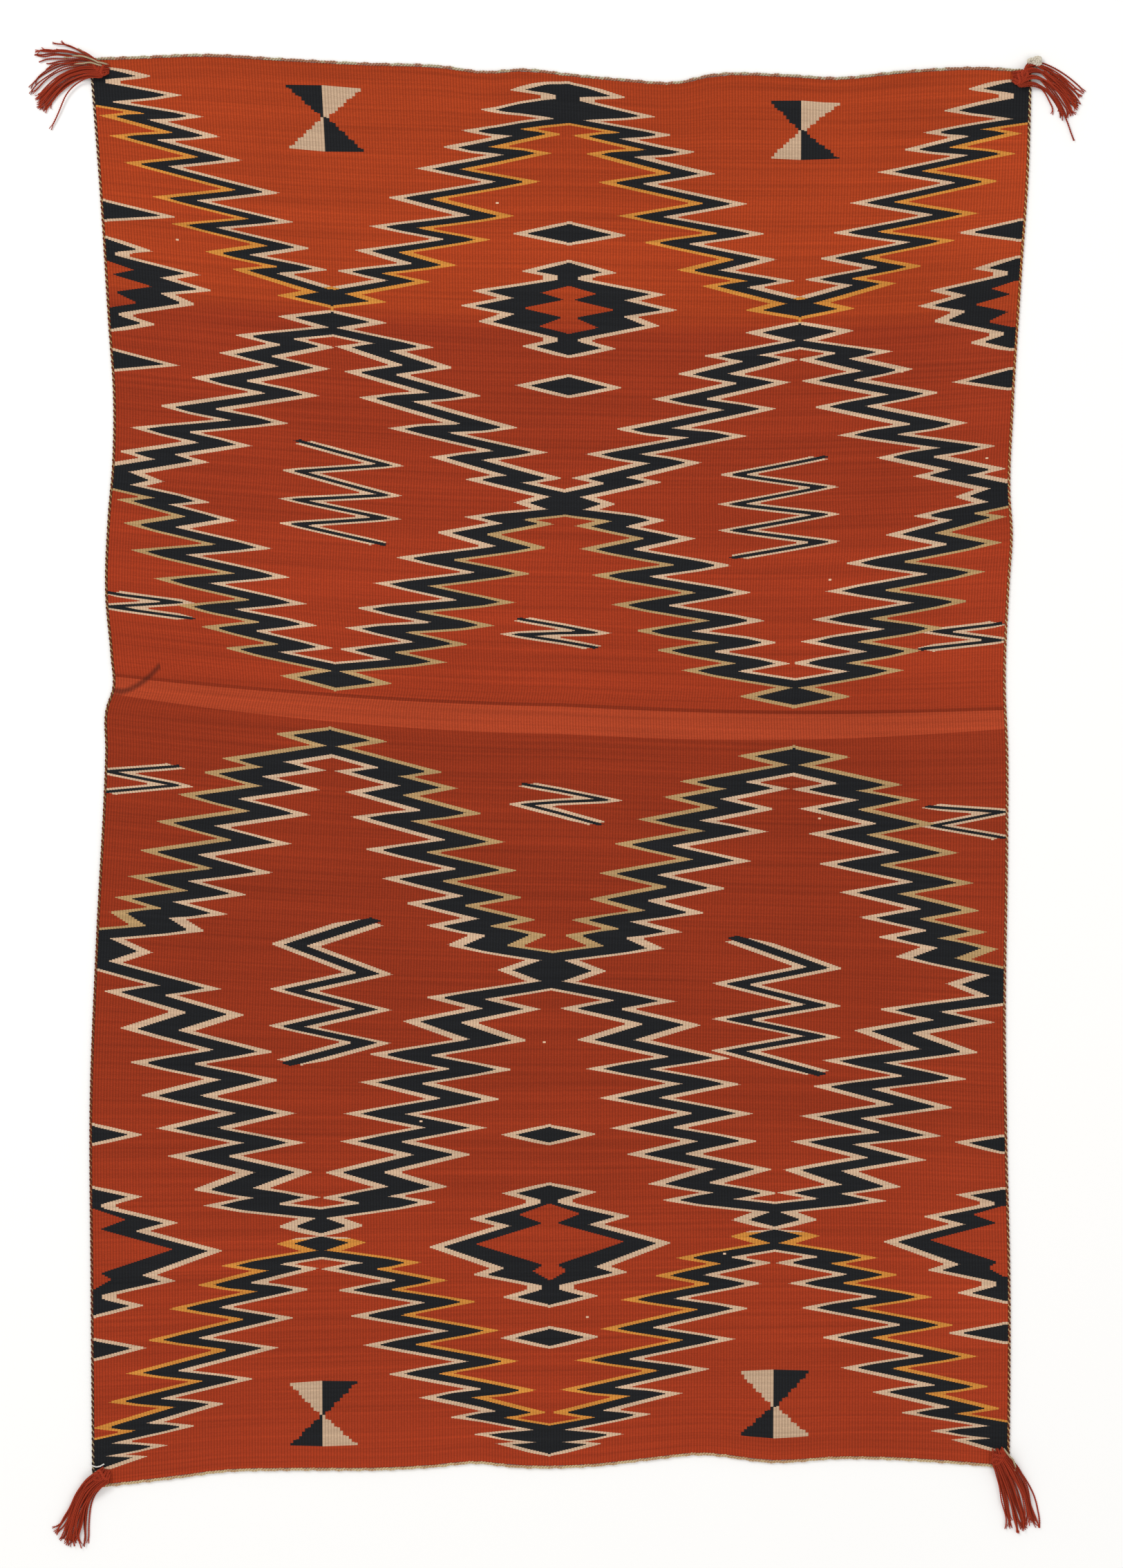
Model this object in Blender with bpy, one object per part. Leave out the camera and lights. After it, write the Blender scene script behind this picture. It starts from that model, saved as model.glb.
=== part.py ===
"""A tapestry-woven wool blanket with corded edges and a tassel at each corner, lying flat.

Metres, +Z up. The origin is on the surface that the blanket lies on, under the middle of the cloth.
+X is the width, along the wefts, and +Y the length, along the warps.
"""
import math
import random
from collections import namedtuple

import bmesh
import bpy
import numpy as np

MM = 0.001

# Cloth, cords and yarn.
CLOTH_THICK = 2.4 * MM
CORD_RADIUS = 2.0 * MM
CORD_POINTS_ACROSS = 52
CORD_POINTS_ALONG = 60
SEAT_GAP = 0.3 * MM
EDGE_GAP = 0.4 * MM
YARN_THICK = 1.8 * MM

# Knot of a tassel: half sizes along the tassel's heading, across it and upwards. It rests on the cords.
KNOT_LONG = 15 * MM
KNOT_WIDE = 13 * MM
KNOT_HIGH = 5.5 * MM
KNOT_SEAT = 2 * CORD_RADIUS + SEAT_GAP
KNOT_MIDDLE = KNOT_SEAT + 0.75 * KNOT_HIGH
KNOT_SUBDIVISIONS = 2

# Strands of a tassel lie in layers, so that they pass one another without touching. Each starts inside
# the knot, leaves the cloth and comes down to the surface in one drop, and then lies level.
LAYERS = 3
LAYER_RISE = YARN_THICK + 0.5 * MM
ROOT_WIDTH = 15 * MM
ROOT_DEPTH = 0.35 * KNOT_LONG
DROP_LENGTH = 15 * MM
LEVEL_POINTS = 5
PLAN_SAMPLES = 200
WELD = 0.01 * MM
SHARP_ANGLE = math.radians(40)

# The outer edge of the corded cloth in mm, a row where the edge changes its course.
# columns: x, y
TOP_EDGE = (
    (-602, 925), (-540, 927), (-450, 930), (-360, 925), (-250, 919), (-144, 915),
    (-90, 908), (-36, 911), (18, 905), (90, 898), (166, 895), (200, 903),
    (297, 904), (369, 900), (450, 908), (558, 913), (622, 909),
)
# columns: x, y
BOTTOM_EDGE = (
    (-598, -931), (-495, -919), (-425, -910), (-349, -908), (-208, -907), (-156, -904),
    (-100, -899), (-49, -904), (48, -903), (130, -894), (185, -888), (291, -898),
    (369, -893), (438, -894), (507, -898), (593, -905),
)
# columns: y, x
LEFT_EDGE = (
    (-931, -598), (-663, -600), (-422, -601), (-218, -593), (26, -581), (82, -580),
    (106, -572), (147, -574), (227, -581), (327, -578), (401, -572), (487, -571),
    (576, -577), (762, -589), (925, -602),
)
# columns: y, x
RIGHT_EDGE = (
    (-905, 593), (-669, 594), (-485, 590), (-347, 588), (-80, 591), (28, 591),
    (106, 588), (244, 593), (308, 597), (358, 594), (469, 598), (647, 609),
    (762, 617), (909, 622),
)

# The top cord's two free ends, past the corners: the right one is tied in a small knot. Mm, and the
# thickness as a share of the cord's own.
# columns: x, y, share
TOP_CORD_LEFT_END = ((-616, 936, 0.8), (-608, 930, 1.0))
TOP_CORD_RIGHT_END = ((627, 915, 1.1), (631, 920, 2.0), (628, 926, 2.2), (633, 930, 1.2))

# One row for each tassel. Places and reaches are in mm and headings in degrees from +X. The strands fan
# out between two headings at the knot, and their tips lie between two others. The last strand hangs
# apart and is longer by `lone`.
Tassel = namedtuple("Tassel", "name x y root_first root_last tip_first tip_last reach lone strands seed")
TASSELS = (
    Tassel("tassel_top_left", -589, 909, 168, 205, 151, 226, 88, 12, 21, 3),
    Tassel("tassel_top_right", 609, 897, 8, -30, -6, -44, 84, 30, 19, 5),
    Tassel("tassel_bottom_left", -586, -917, 226, 250, 229, 258, 99, 0, 21, 7),
    Tassel("tassel_bottom_right", 580, -892, 272, 296, 277, 303, 99, 0, 21, 11),
)
REACH_SPREAD = 5 * MM
OUTER_SHORTFALL = 0.16

# Colours are linear red, green and blue.
FIELD_RED = (0.33, 0.035, 0.012, 1.0)
CORD_TAN = (0.30, 0.24, 0.15, 1.0)
CORD_DARK = (0.07, 0.03, 0.02, 1.0)
TASSEL_RED = (0.28, 0.035, 0.016, 1.0)
WOOL_ROUGHNESS = 0.9


def clear_scene():
    for item in list(bpy.data.objects):
        bpy.data.objects.remove(item, do_unlink=True)


def new_collection(name):
    group = bpy.data.collections.new(name)
    bpy.context.scene.collection.children.link(group)
    return group


def wool(name, colour):
    material = bpy.data.materials.new(name)
    material.use_nodes = True
    shader = material.node_tree.nodes["Principled BSDF"]
    shader.inputs["Base Color"].default_value = colour
    shader.inputs["Roughness"].default_value = WOOL_ROUGHNESS
    shader.inputs["Metallic"].default_value = 0.0
    return material


def smooth_edge(table, at):
    """Reads a table of (along, out) rows in mm at the places `at` in metres.

    Between two rows the curve is a cubic whose slopes at the rows are those between their neighbours.
    """
    along, out = (np.array(column) * MM for column in zip(*table))
    slope = np.gradient(out, along)
    at = np.clip(at, along[0], along[-1])
    left = np.clip(np.searchsorted(along, at) - 1, 0, len(along) - 2)
    step = along[left + 1] - along[left]
    t = (at - along[left]) / step
    return (
        (1 + 2 * t) * (1 - t) ** 2 * out[left]
        + t * (1 - t) ** 2 * step * slope[left]
        + t * t * (3 - 2 * t) * out[left + 1]
        + t * t * (t - 1) * step * slope[left + 1]
    )


def end_stations(table):
    return np.linspace(table[0][0], table[-1][0], CORD_POINTS_ACROSS) * MM


def side_stations(side, inward, inset):
    """Places along a side edge, from the bottom end's inner line to the top end's."""
    ends = []
    for table, (_, corner), turn in ((BOTTOM_EDGE, side[0], 1), (TOP_EDGE, side[-1], -1)):
        x = end_stations(table)
        ends.append(np.interp(corner * MM + inward * inset, x, smooth_edge(table, x)) + turn * inset)
    return np.linspace(ends[0], ends[1], CORD_POINTS_ALONG)


def field_outline():
    """The cloth's outline: the outer edge drawn in by the cords and the gap to them."""
    inset = 2 * CORD_RADIUS + EDGE_GAP
    left_y = side_stations(LEFT_EDGE, 1, inset)
    right_y = side_stations(RIGHT_EDGE, -1, inset)
    left = np.column_stack([smooth_edge(LEFT_EDGE, left_y) + inset, left_y])
    right = np.column_stack([smooth_edge(RIGHT_EDGE, right_y) - inset, right_y])
    top_x = end_stations(TOP_EDGE)
    bottom_x = end_stations(BOTTOM_EDGE)
    top = np.column_stack([top_x, smooth_edge(TOP_EDGE, top_x) - inset])
    bottom = np.column_stack([bottom_x, smooth_edge(BOTTOM_EDGE, bottom_x) + inset])
    top = top[(top_x > left[-1, 0]) & (top_x < right[-1, 0])]
    bottom = bottom[(bottom_x > left[0, 0]) & (bottom_x < right[0, 0])]
    return np.vstack([left, top, right[::-1], bottom[::-1]])


def add_curve(name, dimensions):
    curve = bpy.data.curves.new(name, "CURVE")
    curve.dimensions = dimensions
    return curve


def add_spline(curve, points, closed=False):
    spline = curve.splines.new("POLY")
    spline.points.add(len(points) - 1)
    for point, place in zip(spline.points, points):
        x, y, z = place
        point.co = (x, y, z, 1.0)
    spline.use_cyclic_u = closed
    return spline


def add_object(name, data, group, material=None):
    item = bpy.data.objects.new(name, data)
    group.objects.link(item)
    if material:
        data.materials.append(material)
    return item


def make_field(group, material):
    """The woven cloth: its outline filled, one thickness high, with its underside on the surface."""
    curve = add_curve("woven_field", "2D")
    curve.fill_mode = "BOTH"
    curve.extrude = CLOTH_THICK / 2
    outline = field_outline()
    add_spline(curve, np.column_stack([outline, np.zeros(len(outline))]), closed=True)
    field = add_object("woven_field", curve, group, material)
    field.location.z = CLOTH_THICK / 2


def make_cord(name, rows, group, material):
    """A cord lying on the surface: a tube through rows of x, y and thickness as a share of the cord's."""
    curve = add_curve(name, "3D")
    curve.fill_mode = "FULL"
    curve.bevel_depth = CORD_RADIUS
    curve.bevel_resolution = 2
    curve.use_fill_caps = True
    share = rows[:, 2]
    spline = add_spline(curve, np.column_stack([rows[:, :2], share * CORD_RADIUS]))
    spline.points.foreach_set("radius", share)
    add_object(name, curve, group, material)


def make_end_cord(name, table, inward, group, material, left_end=(), right_end=()):
    """The cord along one end of the cloth, with any free ends past the corners added to it."""
    x = end_stations(table)
    y = smooth_edge(table, x) + inward * CORD_RADIUS
    along = np.column_stack([x, y, np.ones(len(x))])
    ends = [np.array(end).reshape(-1, 3) * (MM, MM, 1) for end in (left_end, right_end)]
    make_cord(name, np.vstack([ends[0], along, ends[1]]), group, material)


def make_side_cord(name, table, inward, group, material):
    y = side_stations(table, inward, 2 * CORD_RADIUS + EDGE_GAP)
    x = smooth_edge(table, y) + inward * CORD_RADIUS
    make_cord(name, np.column_stack([x, y, np.ones(len(y))]), group, material)


def outside(points):
    """How far each place in plan lies outside the corded cloth; less than nothing is inside."""
    x, y = points[:, 0], points[:, 1]
    return np.maximum.reduce([
        smooth_edge(LEFT_EDGE, y) - x,
        x - smooth_edge(RIGHT_EDGE, y),
        y - smooth_edge(TOP_EDGE, x),
        smooth_edge(BOTTOM_EDGE, x) - y,
    ])


def heading(degrees):
    return np.array([math.cos(math.radians(degrees)), math.sin(math.radians(degrees))])


def strand_reach(tassel, index, draw):
    """How far a strand reaches: the middle ones furthest, each a little different."""
    spread = (2 * index / (tassel.strands - 1) - 1) ** 2
    reach = tassel.reach * MM * (1 - OUTER_SHORTFALL * spread) + draw.uniform(-REACH_SPREAD, REACH_SPREAD)
    return reach + (tassel.lone * MM if index == tassel.strands - 1 else 0)


def strand_plan(tassel, share, reach):
    """A strand in plan: a curve of second degree from the knot, along one heading and then another."""
    middle = heading((tassel.root_first + tassel.root_last) / 2)
    across = np.array([-middle[1], middle[0]])
    side = math.copysign(1.0, tassel.root_last - tassel.root_first)
    root = np.array([tassel.x, tassel.y]) * MM + across * side * (share - 0.5) * ROOT_WIDTH
    out = heading(tassel.root_first + share * (tassel.root_last - tassel.root_first))
    tip = heading(tassel.tip_first + share * (tassel.tip_last - tassel.tip_first))
    t = np.linspace(0, 1, PLAN_SAMPLES)[:, None]
    bend = root + out * reach / 2
    end = root + tip * reach
    return (1 - t) ** 2 * root + 2 * t * (1 - t) * bend + t * t * end


def strand_points(tassel, index, reach):
    """A strand in space: level in the knot, down to the surface once it is past the cord, then level."""
    plan = strand_plan(tassel, index / (tassel.strands - 1), reach)
    along = np.concatenate([[0.0], np.cumsum(np.hypot(*np.diff(plan, axis=0).T))])
    leaves = along[np.argmax(outside(plan) > YARN_THICK)]
    stations = np.concatenate([
        [ROOT_DEPTH, leaves, leaves + DROP_LENGTH / 2],
        np.linspace(leaves + DROP_LENGTH, along[-1], LEVEL_POINTS),
    ])
    low = YARN_THICK / 2 + index % LAYERS * LAYER_RISE
    high = KNOT_SEAT + low
    fall = np.clip((stations - leaves) / DROP_LENGTH, 0, 1)
    fall = fall * fall * (3 - 2 * fall)
    return np.column_stack([
        np.interp(stations, along, plan[:, 0]),
        np.interp(stations, along, plan[:, 1]),
        high + (low - high) * fall,
    ])


def make_yarn_section(group):
    """The square section that every strand is swept along."""
    half = YARN_THICK / 2
    curve = add_curve("yarn_section", "2D")
    corners = [(-half, -half, 0), (half, -half, 0), (half, half, 0), (-half, half, 0)]
    add_spline(curve, corners, closed=True)
    section = add_object("yarn_section", curve, group)
    section.hide_render = True
    section.display_type = "WIRE"
    return section


def make_strands(tassel, section, guides):
    """All strands of one tassel as one mesh of separate closed bodies, kept as a guide."""
    curve = add_curve(tassel.name + "_strands", "3D")
    curve.twist_mode = "Z_UP"
    curve.bevel_mode = "OBJECT"
    curve.bevel_object = section
    curve.use_fill_caps = True
    draw = random.Random(tassel.seed)
    for index in range(tassel.strands):
        add_spline(curve, strand_points(tassel, index, strand_reach(tassel, index, draw)))
    swept = add_object(curve.name, curve, guides)
    graph = bpy.context.evaluated_depsgraph_get()
    mesh = bpy.data.meshes.new_from_object(swept.evaluated_get(graph))
    place = swept.matrix_world.copy()
    bpy.data.objects.remove(swept, do_unlink=True)
    shape = bmesh.new()
    shape.from_mesh(mesh)
    bmesh.ops.remove_doubles(shape, verts=shape.verts, dist=WELD)
    bmesh.ops.recalc_face_normals(shape, faces=shape.faces)
    shape.to_mesh(mesh)
    shape.free()
    strands = add_object(tassel.name + "_strands", mesh, guides)
    strands.matrix_world = place
    strands.hide_render = True
    strands.display_type = "WIRE"
    return strands


def make_tassel(tassel, section, group, guides, material):
    """A tassel: its knot, pressed flat where it rests on the cords, joined with its strands."""
    mesh = bpy.data.meshes.new(tassel.name)
    shape = bmesh.new()
    bmesh.ops.create_icosphere(shape, subdivisions=KNOT_SUBDIVISIONS, radius=1.0)
    turn = math.radians((tassel.root_first + tassel.root_last) / 2)
    for vert in shape.verts:
        long, wide, high = vert.co.x * KNOT_LONG, vert.co.y * KNOT_WIDE, vert.co.z * KNOT_HIGH
        vert.co.x = tassel.x * MM + long * math.cos(turn) - wide * math.sin(turn)
        vert.co.y = tassel.y * MM + long * math.sin(turn) + wide * math.cos(turn)
        vert.co.z = max(KNOT_SEAT, KNOT_MIDDLE + high)
    shape.to_mesh(mesh)
    shape.free()
    knot = add_object(tassel.name, mesh, group, material)
    join = knot.modifiers.new("strands", "BOOLEAN")
    join.operation = "UNION"
    join.solver = "EXACT"
    join.object = make_strands(tassel, section, guides)
    for face in mesh.polygons:
        face.use_smooth = True
    mesh.set_sharp_from_angle(angle=SHARP_ANGLE)


def main():
    clear_scene()
    blanket = new_collection("blanket")
    guides = new_collection("cutters")
    field_wool = wool("field_wool", FIELD_RED)
    pale_cord = wool("end_cord_wool", CORD_TAN)
    dark_cord = wool("side_cord_wool", CORD_DARK)
    tassel_wool = wool("tassel_wool", TASSEL_RED)
    make_field(blanket, field_wool)
    ends = (TOP_CORD_LEFT_END, TOP_CORD_RIGHT_END)
    make_end_cord("end_cord_top", TOP_EDGE, -1, blanket, pale_cord, *ends)
    make_end_cord("end_cord_bottom", BOTTOM_EDGE, 1, blanket, pale_cord)
    make_side_cord("side_cord_left", LEFT_EDGE, 1, blanket, dark_cord)
    make_side_cord("side_cord_right", RIGHT_EDGE, -1, blanket, dark_cord)
    section = make_yarn_section(guides)
    for tassel in TASSELS:
        make_tassel(tassel, section, blanket, guides, tassel_wool)


main()
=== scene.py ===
"""The looks of a tapestry-woven wool blanket that lies flat, on the frame of its CAD model.

Metres, +Z up. +X is the width, along the wefts, and +Y the length, along the warps.
"""

import math

import bpy
import numpy as np
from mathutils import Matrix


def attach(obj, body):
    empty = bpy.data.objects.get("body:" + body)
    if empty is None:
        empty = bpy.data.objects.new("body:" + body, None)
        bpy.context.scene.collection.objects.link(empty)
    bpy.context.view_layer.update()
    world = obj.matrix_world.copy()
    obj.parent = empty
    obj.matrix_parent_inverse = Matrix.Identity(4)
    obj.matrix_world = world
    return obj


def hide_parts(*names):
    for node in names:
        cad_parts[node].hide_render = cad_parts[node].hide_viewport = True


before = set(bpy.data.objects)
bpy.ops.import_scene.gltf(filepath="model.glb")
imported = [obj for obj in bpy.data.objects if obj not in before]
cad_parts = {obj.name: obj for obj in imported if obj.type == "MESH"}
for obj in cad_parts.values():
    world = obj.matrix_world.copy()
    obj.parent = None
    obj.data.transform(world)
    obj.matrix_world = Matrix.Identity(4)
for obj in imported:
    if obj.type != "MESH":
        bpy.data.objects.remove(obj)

bl_info = {
    "name": "Tapestry-woven blanket",
    "version": (1, 0, 0),
    "blender": (4, 5, 0),
    "location": "3D View > Sidebar > Blanket",
    "description": "Makes a flat wool blanket with a woven zigzag pattern, corded edges and corner tassels",
    "category": "Add Mesh",
}

MM = 0.001

# The outer edge of the corded cloth in mm, as in the CAD source.
# columns: x, y
TOP_EDGE = (
    (-602, 925), (-540, 927), (-450, 930), (-360, 925), (-250, 919), (-144, 915),
    (-90, 908), (-36, 911), (18, 905), (90, 898), (166, 895), (200, 903),
    (297, 904), (369, 900), (450, 908), (558, 913), (622, 909),
)
BOTTOM_EDGE = (
    (-598, -931), (-495, -919), (-425, -910), (-349, -908), (-208, -907), (-156, -904),
    (-100, -899), (-49, -904), (48, -903), (130, -894), (185, -888), (291, -898),
    (369, -893), (438, -894), (507, -898), (593, -905),
)
# columns: y, x
LEFT_EDGE = (
    (-931, -598), (-663, -600), (-422, -601), (-218, -593), (26, -581), (82, -580),
    (106, -572), (147, -574), (227, -581), (327, -578), (401, -572), (487, -571),
    (576, -577), (762, -589), (925, -602),
)
RIGHT_EDGE = (
    (-905, 593), (-669, 594), (-485, 590), (-347, 588), (-80, 591), (28, 591),
    (106, 588), (244, 593), (308, 597), (358, 594), (469, 598), (647, 609),
    (762, 617), (909, 622),
)
CORD_RADIUS = 2.0 * MM
EDGE_GAP = 0.4 * MM
KNOT_SEAT = 4.3 * MM

# Loom measure: `across` runs from 0 at the left edge to 1 at the right, and `along` in mm from the top.
LENGTH = 1810.0
WIDTH = 1180.0
TOP_LINE = 905.0
RIBS = 312.0
# The beads are drawn twice as coarse as the real wefts of about 1 mm, which are too fine for the picture.
BEAD = 2.1
# The cloth's mesh: its rows, and the cells across each of its four panels.
ROW_COUNT = 1049
PANEL_CELLS = 10
# How far from either end of the cloth the wefts begin to follow that end's line, in mm.
EASE = 160.0
# How far the wefts rise towards the two side edges.
# columns: along, rise at the left edge, rise at the right edge
RISE = (
    (0, 22, 1), (60, 24, -1), (306, 34, 8), (556, 34, 12), (855, 39, -7),
    (1163, 29, -21), (1378, 0, -13), (1516, -10, 3), (1636, -16, 6), (1776, -20, 4), (1810, -26, 0),
)
# How far the wefts slipped towards the lower end all the way across.
# columns: along, slip
SLIP = ((0, 0), (1378, 0), (1500, 3), (1640, 5), (1760, 5), (1810, 0))
# How far they sag between the middle and either edge.
# columns: along, sag in the left half, sag in the right half
SAG = (
    (0, 5, 5), (120, 5, 6), (300, 3, 8), (340, 0, 8), (557, 0, 4), (700, 0, 7), (880, 0, 9),
    (1163, 0, 0), (1480, 0, -6), (1780, 0, 0),
)
# The columns that the pattern hangs on, as places across.
# columns: along, left quarter, middle, right quarter
COLUMNS = (
    (0, 0.245, 0.507, 0.756), (316, 0.245, 0.506, 0.761), (557, 0.247, 0.506, 0.763),
    (800, 0.249, 0.504, 0.766), (1163, 0.249, 0.502, 0.757), (1500, 0.250, 0.500, 0.746),
    (1810, 0.250, 0.498, 0.744),
)
# Where the figures on the right edge are centred.
FAR_EDGE = 0.997
# The old fold, in places along from 0 to 1: its crease, half the crease's height, the lighter band below
# it at either edge, and four times how much further down the band ends in the middle of the cloth.
CREASE = 0.4526
CREASE_HALF = 0.0012
FOLD_BAND = (0.4535, 0.4665)
FOLD_BOW = 0.028
# The brown smudge: its ends' places across, where it starts along and how far it rises to its tip in mm,
# how far from its middle line it is full and gone, in places along, and its strength.
SMUDGE_ACROSS = (0.007, 0.05)
SMUDGE_FOOT = 840.0
SMUDGE_RISE = 38.0
SMUDGE_HALF = (0.0008, 0.0036)
SMUDGE_STRENGTH = 0.62
# Colours that no setting holds.
FOLD_RED = "#a33e21"
SMUDGE_BROWN = "#3d1b12"
COVER_RED = "#96391d"
KNOT_WHITE = "#cfc6b4"
THREAD_WHITE = "#e4e0d8"
# The lower part's dye lots: places along from 0 to 1, and how light the deep red is there.
DEEP_LOTS = (
    (0.185, 1), (0.33, 1.04), (0.345, 1.13), (0.37, 1.15), (0.452, 1.12), (0.46, 0.92), (0.74, 0.98),
    (0.79, 1.07), (0.87, 1.16), (0.93, 1.11), (1, 1.19),
)

# The six rows of zigzags, charted by counting. Every row is woven four times, mirrored, between an
# edge or middle column, where it is 0, and a quarter column, where it is 1. `outer` and `inner` are the
# places along of the teeth that point to either column. `share` gives the zigzag's middle line and
# `reach` the teeth's half spread in mm, both at five places from `start` to `end`. `turns` are the turns
# at its two ends, as (along, place between columns), and `black` and `outline` the half heights in mm of
# the black line and of the line with its outlines.
ZIGZAG_ROWS = (
    dict(outer=(79, 104, 140, 184, 217, 250, 272), inner=(47, 74, 97, 125, 164, 202, 236, 264),
         start=79, end=266, share=(0.25, 0.36, 0.49, 0.59, 0.76), reach=(28, 42, 52, 43, 28),
         turns=((31, -0.04), (58, -0.04), (294, 1)), black=3.7, outline=6.6),
    dict(outer=(361, 386, 420, 461, 493, 525), inner=(367, 397, 431, 469, 502, 529),
         start=368, end=524, share=(0.765, 0.68, 0.58, 0.40, 0.24), reach=(22, 38, 48, 48, 22),
         turns=((346, 1), (549, 0)), black=4.8, outline=7.6),
    dict(outer=(586, 617, 651, 687, 719, 744, 769), inner=(579, 600, 635, 669, 704, 731, 758),
         start=582, end=759, share=(0.24, 0.39, 0.49, 0.594, 0.724), reach=(20, 51, 56, 49, 34),
         turns=((568, 0), (784, 1)), black=4.8, outline=7.6),
    dict(outer=(911, 932, 963, 998, 1036, 1070, 1098, 1118),
         inner=(918, 943, 975, 1014, 1052, 1083, 1109, 1133),
         start=918, end=1118, share=(0.732, 0.61, 0.508, 0.425, 0.28), reach=(24, 39, 46, 36, 23),
         turns=((890, 1), (1147, 0)), black=5.8, outline=8.6),
    dict(outer=(1213, 1254, 1292, 1330, 1369, 1403, 1443, 1463),
         inner=(1202, 1233, 1275, 1310, 1350, 1386, 1424, 1455),
         start=1211, end=1454, share=(0.31, 0.455, 0.545, 0.62, 0.74), reach=(30, 46, 46, 41, 28),
         turns=((1181, 0), (1475, 1)), black=5.8, outline=8.6),
    dict(outer=(1538, 1560, 1589, 1625, 1666, 1703, 1734),
         inner=(1544, 1570, 1603, 1641, 1679, 1712, 1740, 1765),
         start=1544, end=1735, share=(0.762, 0.61, 0.504, 0.389, 0.239), reach=(26, 45, 50, 47, 27),
         turns=((1524, 1), (1757, -0.04), (1773, -0.04)), black=4.5, outline=7.3),
)
# Rows that are black from the teeth to the edge or middle column.
SOLID_ROWS = ((31, 59), (1756, 1773))
# How many mm a tooth reaches across for each mm of its half height: black teeth, then pale ones.
TOOTH_SLOPE = 4.5
PALE_SLOPE = 5.6

# Black figures centred on the edge and middle columns: rows of place along and half width in mm.
FIGURES = (
    ((11, 0), (14, 25), (23, 56), (27, 14), (33, 14)),
    ((196, 0), (208, 56), (220, 0)),
    ((246, 0), (257, 44), (263, 13), (268, 13), (283, 107), (292, 72), (303, 124), (313, 70),
     (324, 100), (344, 13), (348, 13), (355, 44), (366, 0)),
    ((394, 0), (406, 52), (418, 0)),
    ((546, 8), (558, 48), (571, 8)),
    ((1148, 8), (1164, 52), (1180, 8)),
    ((1367, 0), (1377, 44), (1387, 0)),
    ((1441, 0), (1451, 43), (1459, 12), (1464, 12), (1483, 86), (1492, 50), (1518, 138), (1546, 58),
     (1554, 82), (1568, 12), (1574, 12), (1583, 44), (1593, 0)),
    ((1624, 0), (1635, 46), (1646, 0)),
    ((1768, 13), (1774, 13), (1779, 50), (1792, 0)),
)
# Half height in mm of the pale line round each.
FIGURE_OUTLINE = 3.4
# How wide each of these figures is at the left edge and at the right one, next to its width in the middle.
EDGE_WIDTHS = ((1, 1), (1.35, 1.12), (0.95, 0.87), (1.3, 1.1), (1, 1), (1, 1), (1.1, 1), (1.08, 1),
               (1.1, 1.26), (1, 1))
# Red cores inside the two large figures.
CORES = (
    ((276, 0), (285, 36), (294, 6), (305, 61), (317, 8), (329, 39), (338, 0)),
    ((1464, 0), (1478, 40), (1489, 9), (1515, 96), (1542, 9), (1550, 22), (1562, 0)),
)
CORE_WIDTHS = ((0.95, 0.87), (1.08, 1))
# Half height in mm that leaves a figure's edge as it is charted.
SHARP = 0.01
# Small open marks at the left edge, middle and right edge: rows of place along and place across from
# the column, and the half heights in mm of their black and pale lines.
SMALL_MARKS = (
    (((711, 0.000), (714, 0.080), (729, 0.000), (734, 0.092)),
     ((709, -0.046), (724, 0.036), (729, -0.050), (743, 0.037)),
     ((716, -0.002), (722, -0.074), (736, -0.002), (743, -0.090))),
    (((927, 0.078), (942, 0.000), (951, 0.078), (968, -0.002)),
     ((923, -0.039), (940, 0.052), (949, -0.037), (972, 0.045)),
     ((940, -0.083), (947, 0.000), (964, -0.077), (979, 0.000))),
)
MARK_LINES = (1.8, 4.4)
# Black lozenges on the quarter columns, charted like the figures.
LOZENGES = (
    ((290, 3), (302, 50), (311, 0)),
    ((321, 0), (331, 50), (342, 4)),
    ((788, 3), (800, 53), (810, 0)),
    ((865, 0), (875, 53), (886, 4)),
    ((1479, 3), (1490, 34), (1499, 0)),
    ((1502, 0), (1511, 36), (1521, 3)),
)
LOZENGE_OUTLINE = 4.0
# Thin free zigzags on the left and right quarter column: places along of the turns, the two places across
# that they swing between, and the half heights in mm of the black and the pale line.
THIN_ZIGZAGS = (
    (dict(turns=(492, 516, 531, 555, 568, 585, 600, 619), sides=(0.206, 0.305), black=2.0, outline=4.3),
     dict(turns=(498, 519, 538, 558, 573, 591, 607, 625), sides=(0.793, 0.695), black=2.0, outline=4.3)),
    (dict(turns=(1106, 1143, 1174, 1199, 1219, 1244, 1261, 1289), sides=(0.300, 0.217),
          black=3.3, outline=5.7),
     dict(turns=(1116, 1151, 1177, 1201, 1224, 1243, 1266, 1293), sides=(0.705, 0.796),
          black=3.3, outline=5.7)),
)
# Stepped figures of two triangles tip to tip, half black and half pale, on the left and right quarter column:
# first, waist and last place along, half widths in mm to either side, and the black side of the first half.
HOURGLASSES = (
    (dict(rows=(27, 65, 106), widths=(51, 53), black_first=-1),
     dict(rows=(30, 69, 107), widths=(44, 53), black_first=-1)),
    (dict(rows=(1686, 1732, 1777), widths=(47, 50), black_first=1),
     dict(rows=(1681, 1729, 1774), widths=(50, 50), black_first=1)),
)
STEPS = 8

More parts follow.
